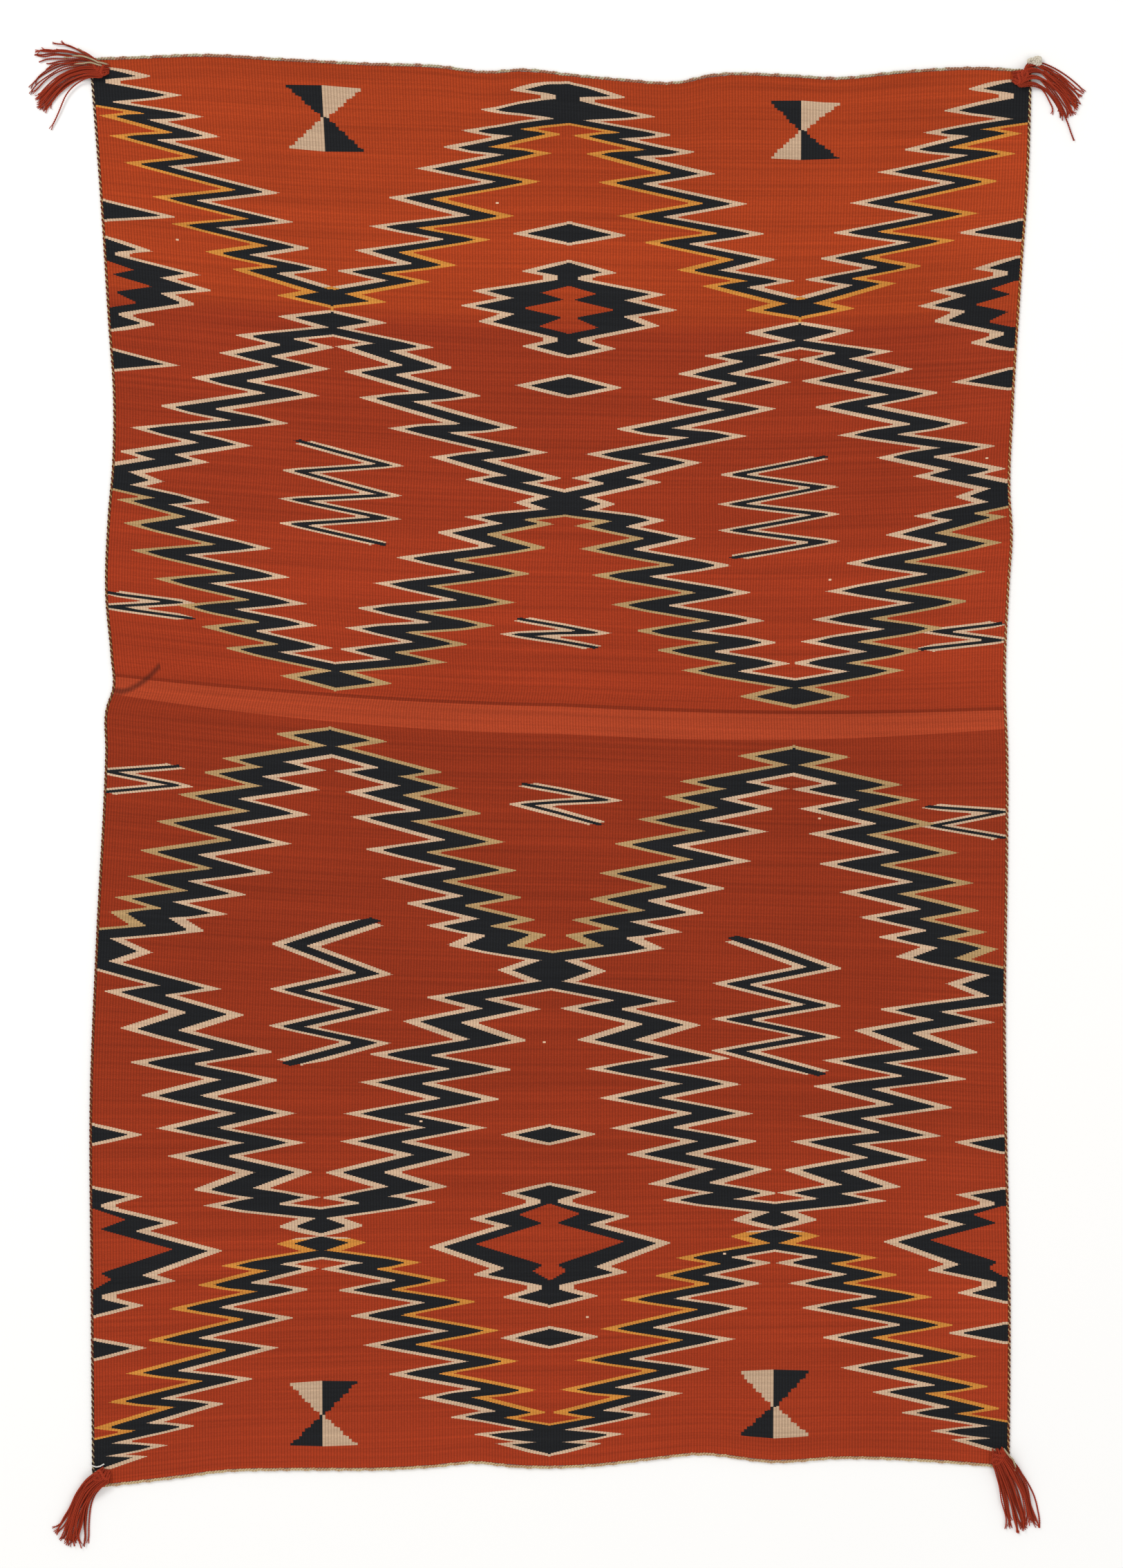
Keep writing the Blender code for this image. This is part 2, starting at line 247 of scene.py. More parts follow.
# One row for each tassel, as in the CAD source: its place in mm and the first and last heading in which
# its strands leave the knot, in degrees. The strands lie in locks, each a row of how many strands, their
# heading out of the knot, the bearing of their tips from it and its spread, their reach in mm and the
# heading in which they end. A pale strand has its place in the knot, from 0 to 1, its heading out, its
# tip's bearing, its reach and its end heading. `thread` is a white thread caught in the weave, in mm.
TASSELS = (
    dict(name="tassel_top_left", x=-589, y=909, root=(168, 205), seed=3, thread=(),
         pale=((0.1, 150, 160, 48, 186), (0.25, 158, 172, 36, 190)),
         locks=((3, 146, 150, 3, 70, 168), (6, 150, 166, 4, 85, 180), (2, 156, 175, 1, 79, 186),
                (4, 162, 197, 5, 95, 238), (19, 168, 211, 7, 92, 236), (1, 176, 232, 0, 95, 258))),
    dict(name="tassel_top_right", x=609, y=897, root=(8, -30), seed=5, thread=(), pale=(),
         locks=((1, 76, -12, 0, 81, -40), (6, 64, -18, 5, 80, -50), (12, 56, -27, 7, 80, -58),
                (10, 42, -35, 7, 82, -62), (6, 24, -42, 4, 70, -64), (1, 12, -50, 0, 104, -84))),
    dict(name="tassel_bottom_left", x=-586, y=-917, root=(226, 250), seed=7, pale=(),
         thread=((-597, -901), (-592, -902.5), (-587, -901.5), (-582, -898.5)),
         locks=((5, 216, 231, 4, 97, 226), (3, 214, 238, 2, 99, 240), (19, 212, 245, 5, 94, 262),
                (4, 206, 257, 2, 89, 276), (1, 206, 256, 0, 93, 310))),
    dict(name="tassel_bottom_right", x=580, y=-892, root=(272, 296), seed=11, thread=(),
         pale=((1.1, -36, -50, 34, -64),),
         locks=((6, -68, -81, 3, 92, -80), (8, -64, -75, 4, 98, -80), (6, -60, -70, 3, 96, -76),
                (8, -54, -64, 3, 97, -74), (4, -44, -60, 1, 103, -72))),
)
# In mm: the width of the strands' row in the knot, their height where they start, and the way on which
# they come down to the floor.
ROOT_SPREAD = 22.0
ROOT_HEIGHT = 3.4
FALL = 16.0
# The knot's turns of yarn: how far along the tassel's heading each lies and its size, in mm.
KNOT_TURNS = ((-6.0, 5.2), (-1.0, 6.4), (4.0, 5.6))
# How light the darkest and lightest strand are, before the fibres' own unevenness, and the same for the knot.
STRAND_TONES = (0.42, 0.85)
KNOT_TONES = (0.55, 0.75)
# The length of a strand curve's two arms, as a share of the strand's reach.
ARM = 0.38
# Where along a strand its plies part.
FRAY = 0.95

# The side cords, with the colours of their plies from the top down. None is the setting's own colour.
SIDE_CORDS = (
    dict(name="left_selvage_cord", node="side_cord_left", wool="striped_selvage_wool_left",
         edge=LEFT_EDGE, inward=1,
         pale=((0, None), (0.1, "#b79a6a"), (0.3, "#a98d5e"), (0.55, "#96794e"), (0.8, "#8f5f3c"),
               (1, "#a99a78")),
         dark=((0, None), (0.12, "#6d2a18"), (0.35, "#5c2b18"), (0.6, "#6a2c1a"), (0.9, "#5a2416"),
               (1, None))),
    dict(name="right_selvage_cord", node="side_cord_right", wool="striped_selvage_wool_right",
         edge=RIGHT_EDGE, inward=-1,
         pale=((0, "#cdbc8c"), (0.15, "#c99a55"), (0.4, "#c3a878"), (0.7, "#c2a075"), (1, "#b98c56")),
         dark=((0, None), (0.09, "#7c3a1c"), (0.35, "#8a3f22"), (0.6, "#7d3a22"), (1, "#5a2b1a"))),
)
# The y at which these colours begin and end, in metres.
CORD_ENDS = (0.925, -0.925)
# How thick the dark ply and the pale one are, next to an even ply.
PLY_SIZES = (1.05, 0.72)
# The fibres' scale, their height in metres, and how far they lighten the wool from how dark a tone. In the
# tassels each strand has its own.
CORD_FIBRES = (2600.0, 0.0003, 0.7, 0.62)
TASSEL_FIBRES = (1800.0, 0.0004, 0.8)
# The top cord's two free ends, as places in mm from left to right.
FREE_ENDS = (((-616, 936, 2), (-608, 930, 2)), ((627, 914, 2), (628, 919, 2)))
# Where the top cord's knot is, half its length and width, and the thickness of its yarn.
CORD_KNOT = (626 * MM, 920 * MM)
KNOT_REACH = (9 * MM, 5 * MM)
KNOT_YARN = 2.7 * MM

# The stage in metres: half the floor's width, where the camera stands, and each light's place, size and
# power in watts, with the strength of the even light from all round.
SKY_LIGHT = 0.8
FLOOR_REACH = 9.0
CAMERA_PLACE = (0.01125, -0.0171)
LIGHTS = (
    ("key_light", (-3.2, 3.4, 4.6), 2.4, 165.0),
    ("fill_light", (3.6, -2.6, 4.8), 3.5, 52.0),
)


def linear(value):
    """An sRGB hex colour as linear red, green and blue."""
    shades = [int(value[at:at + 2], 16) / 255 for at in (1, 3, 5)]
    return tuple(s / 12.92 if s <= 0.04045 else ((s + 0.055) / 1.055) ** 2.4 for s in shades)


def colour_setting(name, description, value):
    return bpy.props.FloatVectorProperty(
        name=name, description=description, subtype="COLOR", size=3, min=0, max=1, default=linear(value))


def length_setting(name, description, millimetres):
    return bpy.props.FloatProperty(
        name=name, description=description, unit="LENGTH", min=0, default=millimetres * MM, precision=5)


class BlanketClothSettings(bpy.types.PropertyGroup):
    red: colour_setting("Red", "Ground colour of the upper part's wefts", "#9d3918")
    deep_red: colour_setting("Deep red", "Ground colour of the lower part's wefts", "#903117")
    black: colour_setting("Black", "Weft of the figures", "#1c1d1f")
    cream: colour_setting("Cream", "Weft of the pale outlines", "#c5a689")
    yellow: colour_setting("Yellow", "Weft of the outer outlines at both ends", "#c48136")
    tan: colour_setting("Tan", "Weft of the outer outlines in the middle rows", "#ab8b5f")
    thickness: length_setting("Thickness", "Thickness of the cloth", 2.4)
    ripple: length_setting("Ripple", "How far the cloth lifts off the floor in its soft waves", 1.1)
    rib_height: length_setting("Rib height", "How far the wefts stand up over each warp", 0.55)


class BlanketCordSettings(bpy.types.PropertyGroup):
    pitch: length_setting("Pitch", "Length of one turn of a cord's two plies", 8.0)
    end_grey: colour_setting("Top cord", "Undyed wool of the top cord", "#b3a68a")
    end_tan: colour_setting("Bottom cord", "Undyed wool of the bottom cord", "#c6ae86")
    dark_ply: colour_setting("Dark ply", "Dark ply of the side cords", "#2a2420")
    pale_ply: colour_setting("Pale ply", "Pale ply of the side cords", "#c7b596")


class BlanketTasselSettings(bpy.types.PropertyGroup):
    red: colour_setting("Red", "Dyed wool of the tassels", "#98341e")
    pale: colour_setting("Pale", "Undyed wool of the cords' ends", "#a8987a")
    thickness: length_setting("Yarn thickness", "Thickness of a two-ply strand", 2.3)
    pitch: length_setting("Pitch", "Length of one turn of a strand's plies", 5.5)


class BlanketStageSettings(bpy.types.PropertyGroup):
    floor: colour_setting("Floor", "Colour of the plain floor", "#f4f3f1")
    light: bpy.props.FloatProperty(
        name="Light", description="Strength of the soft light", default=1.0, min=0)
    lens: bpy.props.FloatProperty(
        name="Lens", description="Focal length of the camera in mm", default=120.0, min=20, max=300)
    height: bpy.props.FloatProperty(
        name="Camera height", description="Height of the camera above the floor", unit="LENGTH",
        default=6.780, min=0.5)


def smooth_edge(table, at):
    """Reads a table of (along, out) rows in mm at the places `at` in metres.

    Between two rows the curve is a cubic whose slopes at the rows are those between their neighbours.
    """
    along, out = (np.array(values) * MM for values in zip(*table))
    slope = np.gradient(out, along)
    at = np.clip(at, along[0], along[-1])
    left = np.clip(np.searchsorted(along, at) - 1, 0, len(along) - 2)
    step = along[left + 1] - along[left]
    t = (at - along[left]) / step
    return (
        (1 + 2 * t) * (1 - t) ** 2 * out[left]
        + t * (1 - t) ** 2 * step * slope[left]
        + t * t * (3 - 2 * t) * out[left + 1]
        + t * t * (t - 1) * step * slope[left + 1]
    )


def column(table, index, at):
    """Reads one column of a chart at the places `at`, with straight lines between its rows."""
    rows = np.array(table, float)
    return np.interp(at, rows[:, 0], rows[:, index])


def loom_place(across, along):
    """A place on the loom as x and y in metres.

    y is the top line less the place along, plus the wefts' rise, which grows with the 1.6th power of the
    distance from the middle, less the slip and the sag, one half wave between the middle and either
    edge. Near both ends the wefts are eased to the cloth's end. x runs evenly between the side edges.
    """
    inset = 2 * CORD_RADIUS + EDGE_GAP

    def plain(at):
        rise = np.where(across < 0.5, column(RISE, 1, at), column(RISE, 2, at))
        deepest = np.where(across < 0.5, column(SAG, 1, at), column(SAG, 2, at))
        sag = deepest * np.abs(np.sin(2 * np.pi * across))
        slip = column(SLIP, 1, at)
        return (TOP_LINE - at + rise * np.abs(1 - 2 * across) ** 1.6 - sag - slip) * MM

    y = plain(along)
    for table, line, turn, corner in ((TOP_EDGE, 0.0, -1, -1), (BOTTOM_EDGE, LENGTH, 1, 0)):
        start, finish = LEFT_EDGE[corner][1] * MM + inset, RIGHT_EDGE[corner][1] * MM - inset
        end = smooth_edge(table, start + across * (finish - start)) + turn * (inset - EDGE_GAP)
        miss = end - plain(line)
        ease = np.clip(1 - np.abs(along - line) / EASE, 0, 1) ** 2
        y = y + miss * ease
    inset = 2 * CORD_RADIUS - EDGE_GAP
    left = smooth_edge(LEFT_EDGE, y) + inset
    right = smooth_edge(RIGHT_EDGE, y) - inset
    return left + across * (right - left), y


def spread_rows(rows, at, left, right, half, slope):
    """The stretch that a figure covers on each row, once it is thickened by a lozenge.

    The figure reaches from `left` to `right` at the places `at`. A row's stretch is the widest that the
    figure has within `half` of it, with `slope` across for each step that is left of `half`. Where the
    figure is further away the stretch is one point.
    """
    at, left, right = (np.array(values, float) for values in (at, left, right))
    offset = np.linspace(-half, half, 41)
    probe = rows[:, None] + offset
    inside = (probe >= at[0]) & (probe <= at[-1])
    spare = slope / WIDTH * (half - np.abs(offset))
    low = np.where(inside, np.interp(probe, at, left) - spare, np.inf).min(axis=1)
    high = np.where(inside, np.interp(probe, at, right) + spare, -np.inf).max(axis=1)
    empty = ~inside.any(axis=1)
    rest = (np.interp(rows, at, left) + np.interp(rows, at, right)) / 2
    return np.where(empty, rest, low), np.where(empty, rest, high)


def figure(rows, at, left, right, black, outline):
    """A figure's outline and black stretches on each row, with the first and last row it covers."""
    black_low, black_high = spread_rows(rows, at, left, right, black, TOOTH_SLOPE)
    low, high = spread_rows(rows, at, left, right, outline, PALE_SLOPE)
    return at[0] - outline, at[-1] + outline, np.stack([low, black_low, black_high, high], axis=1)


def column_figure(rows, chart, middle, outline, wide=1):
    """A figure whose half width, `wide` times the chart's, is the same on both sides of a column."""
    at, half = (np.array(values, float) for values in zip(*chart))
    place = np.interp(at, rows, middle)
    half = half * wide / WIDTH
    return figure(rows, at, place - half, place + half, SHARP, outline)


def open_figure(rows, at, place, black, outline):
    """A thin zigzag whose black line runs out of its outline at both ends, in a point.

    The outline follows the same turns, but starts and ends a seventh of a stroke further in.
    """
    at, place = np.array(at, float), np.array(place, float)
    first, last, ends = figure(rows, at, place, place, black, outline)
    for line in (at, place):
        line[0] += (line[1] - line[0]) / 7
        line[-1] += (line[-2] - line[-1]) / 7
    low, high = spread_rows(rows, at, place, place, outline, PALE_SLOPE)
    return first, last, np.stack([low, ends[:, 1], ends[:, 2], high], axis=1)


def hourglass(rows, middle, rows_at, widths, black_first):
    """Two stepped triangles tip to tip: the half width falls and grows again in STEPS equal steps."""
    first, waist, last = rows_at
    near = np.where(rows < waist, (waist - rows) / (waist - first), (rows - waist) / (last - waist))
    share = np.minimum((np.floor(near * STEPS) + 1) / (STEPS + 1), 1)
    share = np.where((rows >= first) & (rows <= last), share, 0)
    place = np.interp(waist, rows, middle)
    low = place - widths[0] / WIDTH * share
    high = place + widths[1] / WIDTH * share
    on_left = np.where(rows < waist, black_first, -black_first) < 0
    black_low = np.where(on_left, low, place)
    black_high = np.where(on_left, place, high)
    return first, last, np.stack([low, black_low, black_high, high], axis=1)


def nearest(rows, figures):
    """The four stretch ends on each row, each row taking those of the figure that is nearest to it."""
    away = np.stack([np.maximum(np.maximum(first - rows, rows - last), 0) for first, last, _ in figures])
    values = np.stack([ends for _, _, ends in figures])
    return values[away.argmin(axis=0), np.arange(len(rows))]


def zigzag_band(rows, outer_column, quarter_column, draw):
    """The band of thick zigzags between two columns, with its teeth a little uneven.

    A row's middle line and half spread are straight between its five places, and go on straight past them.
    """
    parts = []
    for row in ZIGZAG_ROWS:
        turns = list(row["turns"])
        stations = np.linspace(row["start"], row["end"], 5)
        for side, places in ((-1, row["outer"]), (1, row["inner"])):
            at = np.array(places, float)
            before = np.clip(np.searchsorted(stations, at) - 1, 0, 3)
            t = (at - stations[before]) / (stations[1] - stations[0])
            share, reach = (
                values[before] * (1 - t) + values[before + 1] * t
                for values in (np.array(row["share"]), np.array(row["reach"])))
            gap = np.abs(np.interp(at, rows, quarter_column - outer_column)) * WIDTH
            reach = np.maximum(reach, 4) + draw.uniform(-1, 7, len(at))
            between = share + side * reach / gap
            at = at + draw.uniform(-1.2, 1.2, len(at))
            turns += list(zip(at, between))
        turns.sort()
        at, between = (np.array(values) for values in zip(*turns))
        start, end = np.interp(at, rows, outer_column), np.interp(at, rows, quarter_column)
        place = start + between * (end - start)
        parts.append(figure(rows, at, place, place, row["black"], row["outline"]))
    return nearest(rows, parts)


def pattern_tables(rows):
    """The pattern as stretches across on each row, one set for each of the four panels.

    Returns four tables of shape (panel, row, 4): the zigzag band, the figures on the edge and middle
    columns, the figures on the quarter columns, and a last one with the red cores' stretch and a mark
    that is 1 where the band's outer side is its left.
    """
    draw = np.random.default_rng(21)
    middle = column(COLUMNS, 2, rows)
    quarters = (column(COLUMNS, 1, rows), column(COLUMNS, 3, rows))
    left, right = np.zeros_like(rows), np.full_like(rows, FAR_EDGE)
    bands, edges, quarter_figures, cores = [], [], [], []
    for panel, outer in enumerate((left, middle, middle, right)):
        half = panel // 2
        quarter = quarters[half]
        outer_is_left = panel % 2 == 0
        band = zigzag_band(rows, outer, quarter, draw)
        for first, last in SOLID_ROWS:
            solid = (rows >= first) & (rows <= last)
            if outer_is_left:
                band[solid, :2] = -1
            else:
                band[solid, 2:] = 2
        bands.append(band)
        place = (0, 1, 1, 2)[panel]
        wides, core_wides = (
            [(wide[0], 1, wide[1])[place] for wide in widths] for widths in (EDGE_WIDTHS, CORE_WIDTHS))
        figures = [column_figure(rows, chart, outer, FIGURE_OUTLINE, wide)
                   for chart, wide in zip(FIGURES, wides)]
        for marks in SMALL_MARKS:
            at, step = (np.array(values, float) for values in zip(*marks[place]))
            figures.append(open_figure(rows, at, np.interp(at, rows, outer) + step, *MARK_LINES))
        edges.append(nearest(rows, figures))
        figures = [column_figure(rows, chart, quarter, LOZENGE_OUTLINE) for chart in LOZENGES]
        for pair in THIN_ZIGZAGS:
            thin = pair[half]
            swing = [thin["sides"][turn % 2] for turn in range(len(thin["turns"]))]
            figures.append(open_figure(rows, thin["turns"], swing, thin["black"], thin["outline"]))
        for pair in HOURGLASSES:
            glass = pair[half]
            figures.append(hourglass(rows, quarter, glass["rows"], glass["widths"], glass["black_first"]))
        quarter_figures.append(nearest(rows, figures))
        red = nearest(rows, [column_figure(rows, chart, outer, SHARP, wide)
                             for chart, wide in zip(CORES, core_wides)])
        mark = np.full_like(rows, 1.0 if outer_is_left else 0.0)
        cores.append(np.stack([red[:, 1], red[:, 2], mark, mark], axis=1))
    return tuple(np.stack(part) for part in (bands, edges, quarter_figures, cores))


def new_material(name):
    """A material without nodes, and the function that adds them to it."""
    material = bpy.data.materials.new(name)
    material.use_nodes = True
    tree = material.node_tree
    tree.nodes.clear()

    def add(kind, sockets=(), **settings):
        """Adds a node: its settings by name, then its inputs in order or by name.

        An input is a value, a link or None. A node stands for the first output that it has in use, and
        a colour of three numbers is made opaque.
        """
        node = tree.nodes.new("ShaderNode" + kind)
        for key, value in settings.items():
            setattr(node, key, value)
        if isinstance(sockets, dict):
            pairs = [(node.inputs[key], value) for key, value in sockets.items()]
        else:
            pairs = zip([socket for socket in node.inputs if socket.enabled], sockets)
        for socket, value in pairs:
            if isinstance(value, bpy.types.Node):
                value = next(output for output in value.outputs if output.enabled)
            if isinstance(value, bpy.types.NodeSocket):
                tree.links.new(value, socket)
            elif value is not None:
                short = socket.type == "RGBA" and len(value) == 3
                socket.default_value = (*value, 1) if short else value
        return node

    return material, add


def set_stops(ramp, stops, interpolation="CONSTANT"):
    """Gives a colour ramp its (place, colour) stops, each held up to the next one or blended into it."""
    ramp.color_ramp.interpolation = interpolation
    elements = ramp.color_ramp.elements
    while len(elements) < len(stops):
        elements.new(0.5)
    for element, (place, colour) in zip(elements, sorted(stops)):
        element.position = place
        element.color = (*colour, 1)


def shade(colour, factor):
    return tuple(c * factor for c in colour)


def wool_finish(add, colour, tone, normal):
    """Handspun wool: rough all over, with a soft sheen from its loose fibres and no clear gloss.

    `tone` is how light the colour is at each place.
    """
    tint = add("CombineXYZ", (tone, tone, tone))
    toned = add("Mix", (1.0, colour, tint), data_type="RGBA", blend_type="MULTIPLY")
    shader = add("BsdfPrincipled", {
        "Base Color": toned, "Roughness": 0.92, "IOR": 1.54, "Specular IOR Level": 0.1,
        "Sheen Weight": 0.02, "Sheen Roughness": 0.5, "Normal": normal,
    })
    add("OutputMaterial", (shader,))


def red_ground(add, settings, across, along):
    """The cloth's red, which changes from one dye lot to the next, with its fold, smudge and faded edge."""
    red, deep = tuple(settings.red), tuple(settings.deep_red)
    ground = add("ValToRGB", (along,))
    lots = [(place, shade(deep, light)) for place, light in DEEP_LOTS]
    set_stops(ground, [(0, red), (0.135, shade(red, 1.07)), (0.17, red), *lots], "LINEAR")

    # An old fold: a dark crease, and below it a lighter band that is widest in the middle.
    rest = add("Math", (1.0, across), operation="SUBTRACT")
    bow = add("Math", (across, rest), operation="MULTIPLY")
    band_end = add("Math", (bow, FOLD_BOW, FOLD_BAND[1]), operation="MULTIPLY_ADD")
    before_end = add("Math", (along, band_end), operation="LESS_THAN")
    after_start = add("Math", (along, FOLD_BAND[0]), operation="GREATER_THAN")
    in_band = add("Math", (before_end, after_start), operation="MULTIPLY")
    in_crease = add("Math", (along, CREASE, CREASE_HALF), operation="COMPARE")

    # A brown smudge: a soft line that bends up from the left edge.
    out = add("MapRange", (across, *SMUDGE_ACROSS, 0.0, 1.0))
    bend = add("Math", (out, 1.5), operation="POWER")
    middle = add("Math", (bend, -SMUDGE_RISE / LENGTH, SMUDGE_FOOT / LENGTH), operation="MULTIPLY_ADD")
    away = add("Math", (along, middle), operation="SUBTRACT")
    away = add("Math", (away,), operation="ABSOLUTE")
    near_middle = add("MapRange", (away, *SMUDGE_HALF, SMUDGE_STRENGTH, 0.0))
    near_edge = add("Math", (across, SMUDGE_ACROSS[1] + 0.002), operation="LESS_THAN")
    smudge = add("Math", (near_middle, near_edge), operation="MULTIPLY")
    for factor, layer in ((in_band, linear(FOLD_RED)), (in_crease, shade(deep, 0.78)),
                          (smudge, linear(SMUDGE_BROWN))):
        ground = add("Mix", (factor, ground, layer), data_type="RGBA")
    faded = add("MapRange", (across, 0.86, 0.95, 0.0, 1.0))
    return add("Mix", (faded, ground, (1.08, 1.11, 1.14)), data_type="RGBA", blend_type="MULTIPLY")


def weave_cells(add, across, along):
    """The rib's number, its middle, the count of wefts along it, and a wave for each weft and each rib.

    Two wefts lie side by side in each bead length, one over the odd ribs and one over the even.
    """
    ribs = add("Math", (across, RIBS), operation="MULTIPLY")
    rib = add("Math", (ribs,), operation="FLOOR")
    rib_middle = add("Math", (rib, 0.5), operation="ADD")
    on_rib = add("Math", (rib_middle, RIBS), operation="DIVIDE")
    odd = add("Math", (rib, 2.0), operation="FLOORED_MODULO")
    half_odd = add("Math", (odd, 0.5), operation="MULTIPLY")
    picks = add("Math", (along, LENGTH / BEAD, half_odd), operation="MULTIPLY_ADD")
    waves = []
    for turns in (picks, ribs):
        angle = add("Math", (turns, 2 * math.pi), operation="MULTIPLY")
        waves.append(add("Math", (angle,), operation="COSINE"))
    return rib, on_rib, picks, *waves


def woven_pattern(add, settings, ground, on_rib, along):
    """The figures, with the colour of each row's stretches laid over the ground, one set after another."""

    def read(name):
        """Whether the rib's middle is in a table's black stretch and in all of its stretch.

        The third is whether it lies left of the black stretch's middle.
        """
        table = add("Attribute", attribute_name=name)
        past = add("VectorMath", (on_rib, table.outputs[1]), operation="SUBTRACT")
        start, black_start, black_end = add("SeparateXYZ", (past,)).outputs
        end = add("Math", (on_rib, table.outputs[3]), operation="SUBTRACT")
        black = add("Math", (black_start, black_end), operation="MULTIPLY")
        line = add("Math", (start, end), operation="MULTIPLY")
        side = add("Math", (black_start, black_end), operation="ADD")
        return [add("Math", (value, 0.0), operation="LESS_THAN") for value in (black, line, side)]

    band_black, band_line, left_side = read("band")
    edge_black, edge_line, _ = read("edge_figures")
    quarter_black, quarter_line, _ = read("quarter_figures")
    core = add("Attribute", attribute_name="cores")
    core_past = add("VectorMath", (on_rib, core.outputs[1]), operation="SUBTRACT")
    core_start, core_end, _ = add("SeparateXYZ", (core_past,)).outputs
    core_product = add("Math", (core_start, core_end), operation="MULTIPLY")
    in_core = add("Math", (core_product, 0.0), operation="LESS_THAN")
    edge_black = add("Math", (edge_black, in_core), operation="GREATER_THAN")
    outer_side = add("Math", (left_side, core.outputs[3], 0.3), operation="COMPARE")

    # The pale lines change their wool along the cloth.
    cream, yellow, tan = tuple(settings.cream), tuple(settings.yellow), tuple(settings.tan)
    soiled = shade(cream, 0.86)
    ramps = []
    for stops in (
            ((0, yellow), (319, cream), (558, tan), (1164, cream), (1501, yellow)),
            ((0, soiled), (200, yellow), (316, cream), (780, tan), (905, cream), (1501, yellow),
             (1560, soiled))):
        ramps.append(add("ValToRGB", (along,)))
        set_stops(ramps[-1], [(place / LENGTH, colour) for place, colour in stops])
    outer_pale, quarter_pale = ramps
    band_pale = add("Mix", (outer_side, cream, outer_pale), data_type="RGBA")
    black = add("Math", (band_black, edge_black), operation="MAXIMUM")
    black = add("Math", (black, quarter_black), operation="MAXIMUM")
    colour = ground
    for factor, layer in (
            (edge_line, cream), (band_line, band_pale), (quarter_line, quarter_pale), (in_core, ground),
            (black, tuple(settings.black))):
        colour = add("Mix", (factor, colour, layer), data_type="RGBA")
    return colour


def uneven_wefts(add, uv, across, along):
    """How light each weft is: streaks along it, broader dye lots, and blotches that run over both."""
    wefts = add("CombineXYZ", (across, along))
    streaks = add("Mapping", (wefts, None, None, (3.0, 420.0, 1.0)))
    lots = add("Mapping", (wefts, None, None, (1.3, 46.0, 1.0)))
    tone = 0.395
    for place, scale, detail, roughness, amount in (
            (streaks, 1.0, 3.0, 0.65, 0.75), (lots, 1.0, 2.0, 0.5, 0.3), (uv, 7.0, 3.0, 0.5, 0.16)):
        noise = add("TexNoise", {"Vector": place, "Scale": scale, "Detail": detail,
                                 "Roughness": roughness})
        tone = add("Math", (noise, amount, tone), operation="MULTIPLY_ADD")
    return tone


def weft_wool(settings):
    """Tapestry weave in handspun wool, dyed in the yarn and beaten down over hidden warps.

    The eye sees ribs along the warps, wefts that pass over them as a row of small beads, dye lots that
    change from row to row, and colours that turn from one rib to the next in small steps.
    """
    material, add = new_material("tapestry_weave_wool")
    uv = add("UVMap", uv_map="OFBake")
    across, up, _ = add("SeparateXYZ", (uv,)).outputs
    along = add("Math", (1.0, up), operation="SUBTRACT")
    rib, on_rib, picks, bead, rib_wave = weave_cells(add, across, along)
    ground = red_ground(add, settings, across, along)
    colour = woven_pattern(add, settings, ground, on_rib, along)

    # A few pale flecks, each one bead, where the weft is worn through.
    pick = add("Math", (picks,), operation="FLOOR")
    bead_cell = add("CombineXYZ", (rib, pick))
    chance = add("TexWhiteNoise", (bead_cell,), noise_dimensions="2D")
    fleck = add("Math", (chance, 0.99994), operation="GREATER_THAN")
    colour = add("Mix", (fleck, colour, shade(settings.cream, 1.25)), data_type="RGBA")

    # Painted shade in the grooves between ribs and between beads, and each bead a little off the next in
    # tone.
    groove_shade_and_tone = add("Math", (rib_wave, -0.16, 0.87), operation="MULTIPLY_ADD")
    groove_shade_and_tone = add("Math", (bead, 0.04, groove_shade_and_tone), operation="MULTIPLY_ADD")
    bead_place = add("CombineXYZ", (rib, picks))
    bead_tone = add("TexNoise", {"Vector": bead_place, "Scale": 0.83, "Detail": 1.0})
    groove_shade_and_tone = add("Math", (bead_tone, 0.22, groove_shade_and_tone), operation="MULTIPLY_ADD")
    tone = add("Math", (uneven_wefts(add, uv, across, along), groove_shade_and_tone), operation="MULTIPLY")

    # Relief of ribs, beads and fibres, as shares of the rib height.
    height = add("Math", (rib_wave, -0.5), operation="MULTIPLY")
    height = add("Math", (bead, 0.3, height), operation="MULTIPLY_ADD")
    fibres = add("TexNoise", {"Vector": uv, "Scale": 900.0, "Detail": 2.0})
    height = add("Math", (fibres, 0.5, height), operation="MULTIPLY_ADD")
    normal = add("Bump", {"Strength": 0.7, "Distance": settings.rib_height, "Height": height})
    wool_finish(add, colour, tone, normal)
    return material


def new_piece(name, points, face_sets, material):
    """A mesh piece from an array of points and arrays of faces of equal size, turned outwards.

    The volume is a sixth of the sum of the triple products of each face's fan of triangles: where it
    comes out negative, all faces are turned round.
    """
    volume = 0.0
    for faces in face_sets:
        corners = points[faces]
        for turn in range(1, faces.shape[1] - 1):
            cross = np.cross(corners[:, turn], corners[:, turn + 1])
            volume += np.einsum("ij,ij->", corners[:, 0], cross)
    if volume < 0:
        face_sets = [faces[:, ::-1] for faces in face_sets]
    sizes = np.concatenate([np.full(len(faces), faces.shape[1]) for faces in face_sets])
    mesh = bpy.data.meshes.new(name)
    mesh.vertices.add(len(points))
    mesh.vertices.foreach_set("co", points.ravel())
    mesh.loops.add(int(sizes.sum()))
    mesh.loops.foreach_set("vertex_index", np.concatenate([faces.ravel() for faces in face_sets]))
    mesh.polygons.add(len(sizes))
    mesh.polygons.foreach_set("loop_start", np.concatenate([[0], np.cumsum(sizes)[:-1]]))
    mesh.polygons.foreach_set("use_smooth", np.ones(len(sizes), bool))
    mesh.update(calc_edges=True)
    mesh.materials.append(material)
    piece = bpy.data.objects.new(name, mesh)
    bpy.context.scene.collection.objects.link(piece)
    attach(piece, "root")
    return piece


